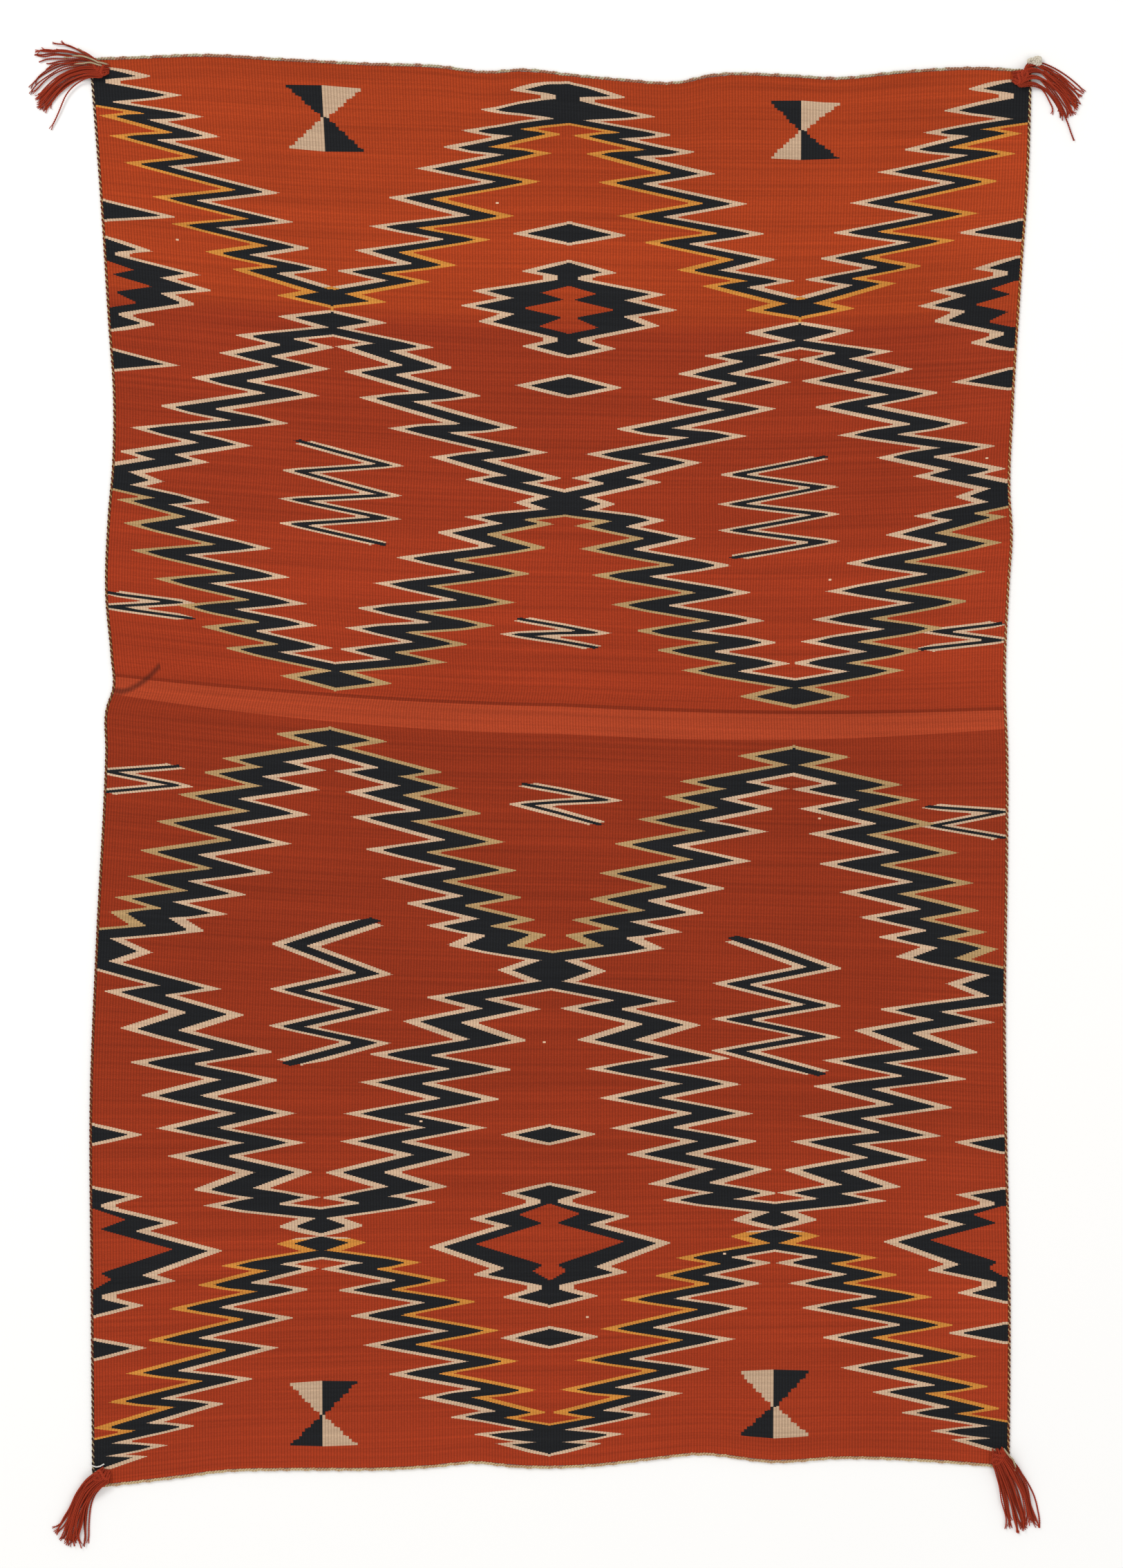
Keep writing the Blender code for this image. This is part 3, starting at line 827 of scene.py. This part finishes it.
def corner_table(mesh, name, values):
    """Stores four numbers on every face corner."""
    layer = mesh.color_attributes.new(name, "FLOAT_COLOR", "CORNER")
    layer.data.foreach_set("color", values.astype(np.float32).ravel())


def ripple(x, y, height, draw):
    """How high the cloth's underside lies: long soft waves, a sum of six slanted sines squared.

    They fade out within 90 mm of the edges.
    """
    waves = np.zeros_like(x)
    for _ in range(6):
        turn, length = draw.uniform(0, math.pi), draw.uniform(0.25, 0.6)
        phase = 2 * math.pi * (x * math.cos(turn) + y * math.sin(turn)) / length
        waves += np.sin(phase + draw.uniform(0, 2 * math.pi)) / 6
    edge = np.minimum.reduce([
        x - smooth_edge(LEFT_EDGE, y), smooth_edge(RIGHT_EDGE, y) - x,
        smooth_edge(TOP_EDGE, x) - y, y - smooth_edge(BOTTOM_EDGE, x)])
    fade = np.clip((edge - 0.01) / 0.09, 0, 1)
    return height * np.clip(waves * 2.2, 0, 1) ** 1.5 * fade * fade * (3 - 2 * fade)


def cloth_surface(settings):
    """The woven cloth as a closed sheet.

    Rows run along and columns across, ten cells for each of the four panels between the columns that
    the pattern hangs on. The underside is the ripple and the upper side one thickness above it.
    """
    along = np.linspace(0, LENGTH, ROW_COUNT)
    borders = np.stack([np.zeros_like(along), *(column(COLUMNS, at, along) for at in (1, 2, 3)),
                        np.ones_like(along)], axis=1)
    step = np.arange(PANEL_CELLS) / PANEL_CELLS
    across = borders[:, :-1, None] + (borders[:, 1:] - borders[:, :-1])[:, :, None] * step
    across = np.concatenate([across.reshape(ROW_COUNT, -1), borders[:, -1:]], axis=1)
    deep = np.broadcast_to(along[:, None], across.shape)
    x, y = loom_place(across, deep)
    low = ripple(x, y, settings.ripple, np.random.default_rng(5))
    count = across.size
    upper = np.stack([x, y, low + settings.thickness], axis=2).reshape(-1, 3)
    lower = np.stack([x, y, low], axis=2).reshape(-1, 3)
    index = np.arange(count).reshape(across.shape)
    cells = np.stack([index[:-1, :-1], index[1:, :-1], index[1:, 1:], index[:-1, 1:]], axis=2)
    top = cells.reshape(-1, 4)
    bottom = top[:, ::-1] + count
    rims = []
    for line, turned in ((index[:, 0], False), (index[:, -1], True), (index[0], True), (index[-1], False)):
        a, b = line[:-1], line[1:]
        rim = np.stack([a, a + count, b + count, b], axis=1)
        rims.append(rim[:, ::-1] if turned else rim)
    faces = np.concatenate([top, bottom, *rims])
    return along, across, np.concatenate([upper, lower]), faces


class BLANKET_OT_cloth(bpy.types.Operator):
    """Make the woven cloth with its pattern"""

    bl_idname = "blanket.cloth"
    bl_label = "Woven cloth"

    def execute(self, context):
        settings = context.scene.blanket_cloth
        along, across, points, faces = cloth_surface(settings)
        cloth = new_piece("tapestry_cloth", points, [faces], weft_wool(settings))
        mesh = cloth.data
        corners = np.empty(len(mesh.loops), np.int64)
        mesh.loops.foreach_get("vertex_index", corners)
        row, place = np.unravel_index(corners % across.size, across.shape)
        first_place = place.reshape(-1, 4).min(axis=1)
        panel = np.repeat(np.minimum(first_place // PANEL_CELLS, 3), 4)
        tables = pattern_tables(along)
        for name, table in zip(("band", "edge_figures", "quarter_figures", "cores"), tables):
            corner_table(mesh, name, table[panel, row])
        uv = mesh.uv_layers.new(name="OFBake")
        spots = np.stack([across[row, place], 1 - along[row] / LENGTH], axis=1)
        uv.data.foreach_set("uv", spots.astype(np.float32).ravel())
        mesh.set_sharp_from_angle(angle=math.radians(60))
        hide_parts("woven_field")
        return {"FINISHED"}


def even_path(points, step):
    """A path's points again, spaced evenly along its length."""
    along = np.concatenate([[0.0], np.cumsum(np.linalg.norm(np.diff(points, axis=0), axis=1))])
    count = max(int(along[-1] / step), 4)
    at = np.linspace(0, along[-1], count)
    return np.stack([np.interp(at, along, points[:, axis]) for axis in range(3)], axis=1), at


def side_axes(path):
    """Two axes square to a path at each of its points: a level one, and the one square to it."""
    ahead = np.gradient(path, axis=0)
    ahead /= np.linalg.norm(ahead, axis=1, keepdims=True)
    level = np.cross(ahead, (0.0, 0.0, 1.0))
    level /= np.maximum(np.linalg.norm(level, axis=1, keepdims=True), 1e-9)
    return level, np.cross(level, ahead)


def tube(path, radius, sides):
    """A round tube along a path, closed at both ends, whose rings stand square to the path."""
    level, up = side_axes(path)
    angle = np.linspace(0, 2 * math.pi, sides, endpoint=False)
    ring = np.cos(angle)[:, None] * level[:, None] + np.sin(angle)[:, None] * up[:, None]
    points = (path[:, None] + np.broadcast_to(radius, len(path))[:, None, None] * ring).reshape(-1, 3)
    index = np.arange(len(path) * sides).reshape(-1, sides)
    following = np.roll(index, -1, axis=1)
    quads = np.stack([index[:-1], following[:-1], following[1:], index[1:]], axis=2).reshape(-1, 4)
    caps = np.stack([index[0][::-1], index[-1]])
    return points, quads, caps


def plied_yarn(path, radius, pitch, sides, phase=0.0, plies=2, frayed=False, sizes=(1,)):
    """Plies twisted round one another along a path: each is a tube whose middle line is a helix.

    The helix has half the yarn's radius and turns once in each pitch. A ply's own radius is a little more
    than that, so that the plies press into each other, and `sizes` makes one thicker or thinner. At the
    end of frayed yarn the twist stops and the plies go three times as far apart.
    """
    path, at = even_path(path, pitch / 9)
    level, up = side_axes(path)
    spread = np.full(len(at), radius * 0.5)
    twisted = at
    if frayed:
        twisted = np.minimum(at, FRAY * at[-1])
        spread *= 1 + 2 * np.clip((at / at[-1] - FRAY) / (1 - FRAY), 0, 1)
    parts = []
    for ply in range(plies):
        turn = 2 * math.pi * (twisted / pitch + ply / plies) + phase
        offset = np.cos(turn)[:, None] * level + np.sin(turn)[:, None] * up
        parts.append(tube(path + offset * spread[:, None], radius * 0.52 * sizes[ply % len(sizes)], sides))
    return parts


def joined(parts):
    """Many tubes as one set of points and faces, pressed flat where they would go under the floor."""
    starts = np.cumsum([0] + [len(part[0]) for part in parts[:-1]])
    points = np.concatenate([part[0] for part in parts])
    points[:, 2] = np.maximum(points[:, 2], 0.0)
    quads = np.concatenate([part[1] + start for part, start in zip(parts, starts)])
    caps = np.concatenate([part[2] + start for part, start in zip(parts, starts)])
    return points, [quads, caps]


def point_values(mesh, name, parts, values):
    """Stores one number for each tube on its points."""
    layer = mesh.attributes.new(name, "FLOAT", "POINT")
    numbers = np.concatenate([np.full(len(part[0]), value) for part, value in zip(parts, values)])
    layer.data.foreach_set("value", numbers.astype(np.float32))


def loose_fibres(add, scale, distance, contrast, darkest):
    """Loose wool fibres, a fraction of a mm apart: how light each place is, and their relief."""
    place = add("TexCoord").outputs["Object"]
    fibres = add("TexNoise", {"Vector": place, "Scale": scale, "Detail": 3.0, "Roughness": 0.7})
    tone = add("Math", (fibres, contrast, darkest), operation="MULTIPLY_ADD")
    return tone, add("Bump", {"Strength": 0.6, "Distance": distance, "Height": fibres})


def end_cord_wool(name, colour, cover):
    """Undyed handspun wool in two plies, twisted hard: grey-tan, and nearly white in the knot.

    `cover` is how red it looks where the last wefts are pulled over it, in stretches of some 20 mm.
    """
    material, add = new_material(name)
    tone, normal = loose_fibres(add, *CORD_FIBRES)
    ply = add("Attribute", attribute_name="ply").outputs[2]
    in_knot = add("Math", (ply, 1.5), operation="GREATER_THAN")
    place = add("TexCoord").outputs["Object"]
    patches = add("TexNoise", {"Vector": place, "Scale": 60.0, "Detail": 2.0})
    covered = add("MapRange", (patches, 0.47, 0.53, 0.0, cover))
    wool = add("Mix", (covered, tuple(colour), linear(COVER_RED)), data_type="RGBA")
    wool = add("Mix", (in_knot, wool, linear(KNOT_WHITE)), data_type="RGBA")
    wool_finish(add, wool, tone, normal)
    return material


def side_cord_wool(name, pale_stops, dark_stops):
    """A dark and a pale ply of dyed wool twisted into the selvage, so that it looks striped across.

    Both change colour along the blanket where the weaver took up another yarn.
    """
    material, add = new_material(name)
    place = add("TexCoord").outputs["Object"]
    y = add("SeparateXYZ", (place,)).outputs[1]
    down = add("MapRange", (y, *CORD_ENDS, 0.0, 1.0))
    ply = add("Attribute", attribute_name="ply").outputs[2]
    pale = add("ValToRGB", (down,))
    set_stops(pale, pale_stops, "LINEAR")
    dark = add("ValToRGB", (down,))
    set_stops(dark, dark_stops, "LINEAR")
    colour = add("Mix", (ply, dark, pale), data_type="RGBA")
    tone, normal = loose_fibres(add, *CORD_FIBRES)
    wool_finish(add, colour, tone, normal)
    return material


def cord_piece(name, node, path, pitch, material, extra=(), sizes=(1,)):
    """A two-ply cord along an edge, in the space of its CAD node.

    Its plies are numbered 0 and 1, and all that is `extra` is 2.
    """
    parts = [*plied_yarn(path, CORD_RADIUS, pitch, 6, sizes=sizes), *extra]
    points, faces = joined(parts)
    cord = new_piece(name, points, faces, material)
    point_values(cord.data, "ply", parts, [min(index, 2) for index in range(len(parts))])
    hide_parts(node)


def end_path(table, inward, first=(), last=()):
    """The middle line of an end cord, with its free ends, in metres.

    It follows the cloth's edge with small bumps, two sines of 14 and 22 mm, where the warps pull at it.
    """
    x = np.linspace(table[0][0], table[-1][0], 600) * MM
    bumps = np.sin(2 * math.pi * x / 0.0137) + np.sin(2 * math.pi * x / 0.0223 + 1)
    y = smooth_edge(table, x) + inward * CORD_RADIUS + bumps * 0.35 * MM
    line = np.stack([x, y, np.full(len(x), CORD_RADIUS)], axis=1)
    ends = [np.array(end, float).reshape(-1, 3) * MM for end in (first, last)]
    return np.concatenate([ends[0], line, ends[1]])


def small_knot(x, y, reach, thickness):
    """A tight overhand knot: a trefoil, cos t - 2 cos 2t and sin t + 2 sin 2t, pressed flat.

    `reach` is about half its length in x and in y.
    """
    t = np.linspace(0, 2 * math.pi, 120)
    path = np.stack([x + (np.cos(t) - 2 * np.cos(2 * t)) * reach[0] / 3,
                     y + (np.sin(t) + 2 * np.sin(2 * t)) * reach[1] / 3,
                     (1.6 - 0.5 * np.sin(3 * t)) * thickness], axis=1)
    return plied_yarn(path, thickness, 6 * MM, 6)


class BLANKET_OT_end_cords(bpy.types.Operator):
    """Make the two twined cords that bind the ends of the warps"""

    bl_idname = "blanket.end_cords"
    bl_label = "End cords"

    def execute(self, context):
        settings = context.scene.blanket_cords
        top = end_path(TOP_EDGE, -1, *FREE_ENDS)
        knot = small_knot(*CORD_KNOT, KNOT_REACH, KNOT_YARN)
        cord_piece("top_cord", "end_cord_top", top, settings.pitch,
                   end_cord_wool("undyed_grey_wool", settings.end_grey, 0.6), knot)
        bottom = end_path(BOTTOM_EDGE, 1)
        cord_piece("bottom_cord", "end_cord_bottom", bottom, settings.pitch,
                   end_cord_wool("undyed_tan_wool", settings.end_tan, 0.3))
        return {"FINISHED"}


def side_path(table, inward):
    """The middle line of a side cord, from the bottom cord to the top one."""
    inset = 2 * CORD_RADIUS + EDGE_GAP
    low_x, high_x = (table[corner][1] * MM + inward * inset for corner in (0, -1))
    y = np.linspace(smooth_edge(BOTTOM_EDGE, low_x) + inset, smooth_edge(TOP_EDGE, high_x) - inset, 300)
    x = smooth_edge(table, y) + inward * CORD_RADIUS
    return np.stack([x, y, np.full(len(y), CORD_RADIUS)], axis=1)


class BLANKET_OT_side_cords(bpy.types.Operator):
    """Make the two striped cords along the selvages"""

    bl_idname = "blanket.side_cords"
    bl_label = "Side cords"

    def execute(self, context):
        settings = context.scene.blanket_cords
        for cord in SIDE_CORDS:
            pale, dark = (
                [(place, linear(colour) if colour else tuple(own)) for place, colour in stops]
                for stops, own in ((cord["pale"], settings.pale_ply), (cord["dark"], settings.dark_ply)))
            cord_piece(cord["name"], cord["node"], side_path(cord["edge"], cord["inward"]),
                       settings.pitch, side_cord_wool(cord["wool"], pale, dark), sizes=PLY_SIZES)
        return {"FINISHED"}


def tassel_wool(settings):
    """Red handspun wool, two-ply and cut: deep red, each strand a little lighter or darker than the next,
    with pale and white strands where they are marked so.
    """
    material, add = new_material("tassel_two_ply_wool")
    pale, shade_of = (add("Attribute", attribute_name=name).outputs[2] for name in ("pale", "shade"))
    white = add("Math", (pale, 1.5), operation="GREATER_THAN")
    colour = add("Mix", (pale, tuple(settings.red), tuple(settings.pale)), data_type="RGBA")
    colour = add("Mix", (white, colour, linear(THREAD_WHITE)), data_type="RGBA")
    tone, normal = loose_fibres(add, *TASSEL_FIBRES, shade_of)
    wool_finish(add, colour, tone, normal)
    return material


def outside(points):
    """How far each place in plan lies outside the corded cloth; less than nothing is inside."""
    x, y = points[:, 0], points[:, 1]
    return np.maximum.reduce([
        smooth_edge(LEFT_EDGE, y) - x, x - smooth_edge(RIGHT_EDGE, y),
        y - smooth_edge(TOP_EDGE, x), smooth_edge(BOTTOM_EDGE, x) - y])


def heading(degrees):
    return np.array([math.cos(math.radians(degrees)), math.sin(math.radians(degrees))])


def knot_axes(tassel):
    """The heading in which a tassel leaves its knot, and the one across it, towards the last strand."""
    first, last = tassel["root"]
    ahead = heading((first + last) / 2)
    return ahead, np.array([-ahead[1], ahead[0]]) * math.copysign(1.0, last - first)


def strand_path(tassel, share, out, bearing, reach, end, level, thickness, draw):
    """The middle line of one strand.

    In plan it is a cubic Bezier curve from the knot to the tip, with one arm along the first heading and
    one back along the last. A straight start over the corner of the cloth, a wave and a hooked end are
    added. It lies over the cloth and its cord, comes down to the floor and then lies level. `share` is the
    strand's place in the knot, from 0 to 1, and `level` its layer.
    """
    ahead, side = knot_axes(tassel)
    place = np.array([tassel["x"], tassel["y"]]) * MM
    root = place + side * (share - 0.5) * ROOT_SPREAD * MM
    tip = place + heading(bearing) * reach
    inner = root + heading(out) * reach * ARM
    last = heading(end)
    outer = tip - last * reach * ARM
    t = np.linspace(0, 1, 160)[:, None]
    curve = (1 - t) ** 3 * root + 3 * t * (1 - t) ** 2 * inner + 3 * t * t * (1 - t) * outer + t ** 3 * tip
    across = np.array([-last[1], last[0]])
    turns = draw.uniform(1.2, 2.6) * t + draw.uniform(0, 1)
    wave = draw.uniform(0.3, 1.2) * MM * np.sin(2 * math.pi * turns)
    hook = draw.choice([-1, 1]) * draw.uniform(0.0, 5.0) * MM * np.clip((t - 0.86) / 0.14, 0, 1) ** 2
    curve = curve + across * (wave * t + hook)
    back = np.linspace(1, 0, 20, endpoint=False)[:, None]
    start = root - ahead * back * draw.uniform(7, 15) * MM - side * (share - 0.5) * back * 9 * MM
    plan = np.concatenate([start, curve])
    along = np.concatenate([[0.0], np.cumsum(np.hypot(*np.diff(plan, axis=0).T))])
    leaves = along[np.argmax(outside(plan) > 0.5 * thickness)]
    fall = np.clip((along - leaves) / (FALL * MM), 0, 1)
    fall = fall * fall * (3 - 2 * fall)
    low = thickness / 2 + level * 0.85 * thickness * np.clip(1.3 - (along / along[-1]) ** 2, 0.1, 1)
    high = KNOT_SEAT + 0.6 * thickness + level * 0.8 * thickness
    rise = np.clip(along / (7 * MM), 0, 1)
    high = ROOT_HEIGHT * MM + (high - ROOT_HEIGHT * MM) * np.sin(rise * math.pi / 2)
    return np.column_stack([plan, high + (low - high) * fall])


def tassel_parts(tassel, settings):
    """The plies of a tassel's strands and of the knot that binds them, with two numbers for each ply.

    The first is 0 for a red ply, 1 for a pale one and 2 for a white one, and the second is its tone.
    """
    draw = np.random.default_rng(tassel["seed"])
    thickness = settings.thickness
    ahead, side = knot_axes(tassel)
    parts, pale, shades = [], [], []

    def keep(plies, paleness, tone):
        parts.extend(plies)
        pale.extend([paleness] * len(plies))
        shades.extend([tone] * len(plies))

    fan = math.copysign(4.0, tassel["root"][1] - tassel["root"][0])
    count = sum(lock[0] for lock in tassel["locks"])
    index = 0
    for strands, out, bearing, spread, reach, end in tassel["locks"]:
        for place in np.linspace(-1, 1, strands) if strands > 1 else (0.0,):
            share = index / (count - 1)
            far = (reach - 7 * place * place + draw.uniform(-4, 4)) * MM
            turned = bearing + spread * place + draw.uniform(-1.2, 1.2)
            leaving = out + fan * place + draw.uniform(-3, 3)
            path = strand_path(tassel, share, leaving, turned, far,
                               end + draw.uniform(-8, 8), index * 2 % 3, thickness, draw)
            yarn = plied_yarn(path, thickness / 2, settings.pitch, 5, draw.uniform(0, 2 * math.pi),
                              frayed=True)
            keep(yarn, 0.0, draw.uniform(*STRAND_TONES))
            index += 1
    for place, out, bearing, reach, end in tassel["pale"]:
        path = strand_path(tassel, place, out, bearing, reach * MM, end, 3, thickness, draw)
        keep(plied_yarn(path, thickness * 0.55, settings.pitch, 5), 1.0, 0.7)
    for turn, size in KNOT_TURNS:
        middle = np.array([tassel["x"], tassel["y"]]) * MM + ahead * turn * MM
        angle = np.linspace(0, 2 * math.pi, 60)
        plan = middle + side * (np.cos(angle) * 1.5 * size * MM)[:, None]
        plan = plan + ahead * ((np.sin(2 * angle) * 2.2 + np.sin(angle) * 1.4) * MM)[:, None]
        height = KNOT_SEAT + (2.6 + 2.4 * np.sin(angle + turn)) * MM
        keep(plied_yarn(np.column_stack([plan, height]), 2.1 * MM, 9 * MM, 5, turn, 3), 0.0,
             draw.uniform(*KNOT_TONES))
    if tassel["thread"]:
        thread = np.array([(x, y, 4.9) for x, y in tassel["thread"]]) * MM
        keep(plied_yarn(thread, 1.0 * MM, 4 * MM, 5), 2.0, 0.6)
    return parts, pale, shades


class BLANKET_OT_tassels(bpy.types.Operator):
    """Make the four corner tassels of two-ply yarn"""

    bl_idname = "blanket.tassels"
    bl_label = "Corner tassels"

    def execute(self, context):
        settings = context.scene.blanket_tassels
        material = tassel_wool(settings)
        for tassel in TASSELS:
            parts, pale, shades = tassel_parts(tassel, settings)
            points, faces = joined(parts)
            piece = new_piece(tassel["name"] + "_yarns", points, faces, material)
            point_values(piece.data, "pale", parts, pale)
            point_values(piece.data, "shade", parts, shades)
            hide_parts(tassel["name"])
        return {"FINISHED"}


def floor_material(colour):
    """Plain matt paper sweep: pale and even, so that only the soft shadow shows on it."""
    material, add = new_material("studio_paper")
    shader = add("BsdfPrincipled", {"Base Color": colour, "Roughness": 0.9, "Specular IOR Level": 0.1})
    add("OutputMaterial", (shader,))
    return material


class BLANKET_OT_stage(bpy.types.Operator):
    """Make the floor, the soft light and the camera straight above"""

    bl_idname = "blanket.stage"
    bl_label = "Stage"

    def execute(self, context):
        scene = context.scene
        settings = scene.blanket_stage
        corners = [(x * FLOOR_REACH, y * FLOOR_REACH, 0) for x, y in ((-1, -1), (1, -1), (1, 1), (-1, 1))]
        mesh = bpy.data.meshes.new("studio_floor")
        mesh.from_pydata(corners, [], [(0, 1, 2, 3)])
        mesh.materials.append(floor_material(tuple(settings.floor)))
        floor = bpy.data.objects.new("studio_floor", mesh)
        scene.collection.objects.link(floor)
        scene.view_settings.view_transform = "Standard"
        world = bpy.data.worlds.new("soft_room")
        world.use_nodes = True
        sky = world.node_tree.nodes["Background"]
        sky.inputs[0].default_value = (1, 1, 1, 1)
        sky.inputs[1].default_value = SKY_LIGHT * settings.light
        scene.world = world
        for name, place, size, power in LIGHTS:
            lamp = bpy.data.lights.new(name, "AREA")
            lamp.shape = "SQUARE"
            lamp.size = size
            lamp.energy = power * settings.light
            light = bpy.data.objects.new(name, lamp)
            light.location = place
            x, y, z = place
            light.rotation_euler = (math.atan2(math.hypot(x, y), z), 0, math.atan2(y, x) + math.pi / 2)
            scene.collection.objects.link(light)
        lens = bpy.data.cameras.new("camera")
        lens.type = "PERSP"
        lens.sensor_width = 36
        lens.lens = settings.lens
        lens.clip_end = 60
        camera = bpy.data.objects.new("camera", lens)
        camera.location = (*CAMERA_PLACE, settings.height)
        scene.collection.objects.link(camera)
        scene.camera = camera
        return {"FINISHED"}


class BLANKET_PT_panel(bpy.types.Panel):
    bl_idname = "BLANKET_PT_panel"
    bl_label = "Tapestry-woven blanket"
    bl_space_type = "VIEW_3D"
    bl_region_type = "UI"
    bl_category = "Blanket"

    def draw(self, context):
        scene = context.scene
        groups = (
            (scene.blanket_stage, ("floor", "light", "lens", "height"), (BLANKET_OT_stage,)),
            (scene.blanket_cloth, ("red", "deep_red", "black", "cream", "yellow", "tan", "thickness",
                                   "ripple", "rib_height"), (BLANKET_OT_cloth,)),
            (scene.blanket_cords, ("pitch", "end_grey", "end_tan", "dark_ply", "pale_ply"),
             (BLANKET_OT_end_cords, BLANKET_OT_side_cords)),
            (scene.blanket_tassels, ("red", "pale", "thickness", "pitch"),
             (BLANKET_OT_tassels,)),
        )
        for settings, names, operators in groups:
            box = self.layout.box()
            for name in names:
                box.prop(settings, name)
            for operator in operators:
                box.operator(operator.bl_idname)


CLASSES = (
    BlanketClothSettings, BlanketCordSettings, BlanketTasselSettings, BlanketStageSettings,
    BLANKET_OT_stage, BLANKET_OT_cloth, BLANKET_OT_end_cords, BLANKET_OT_side_cords, BLANKET_OT_tassels,
    BLANKET_PT_panel,
)


def register():
    for item in CLASSES:
        bpy.utils.register_class(item)
    bpy.types.Scene.blanket_cloth = bpy.props.PointerProperty(type=BlanketClothSettings)
    bpy.types.Scene.blanket_cords = bpy.props.PointerProperty(type=BlanketCordSettings)
    bpy.types.Scene.blanket_tassels = bpy.props.PointerProperty(type=BlanketTasselSettings)
    bpy.types.Scene.blanket_stage = bpy.props.PointerProperty(type=BlanketStageSettings)


def unregister():
    del bpy.types.Scene.blanket_stage
    del bpy.types.Scene.blanket_tassels
    del bpy.types.Scene.blanket_cords
    del bpy.types.Scene.blanket_cloth
    for item in reversed(CLASSES):
        bpy.utils.unregister_class(item)


def main():
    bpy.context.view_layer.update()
    register()
    bpy.ops.blanket.stage()
    bpy.ops.blanket.cloth()
    bpy.ops.blanket.end_cords()
    bpy.ops.blanket.side_cords()
    bpy.ops.blanket.tassels()


if __name__ == "__main__":
    main()
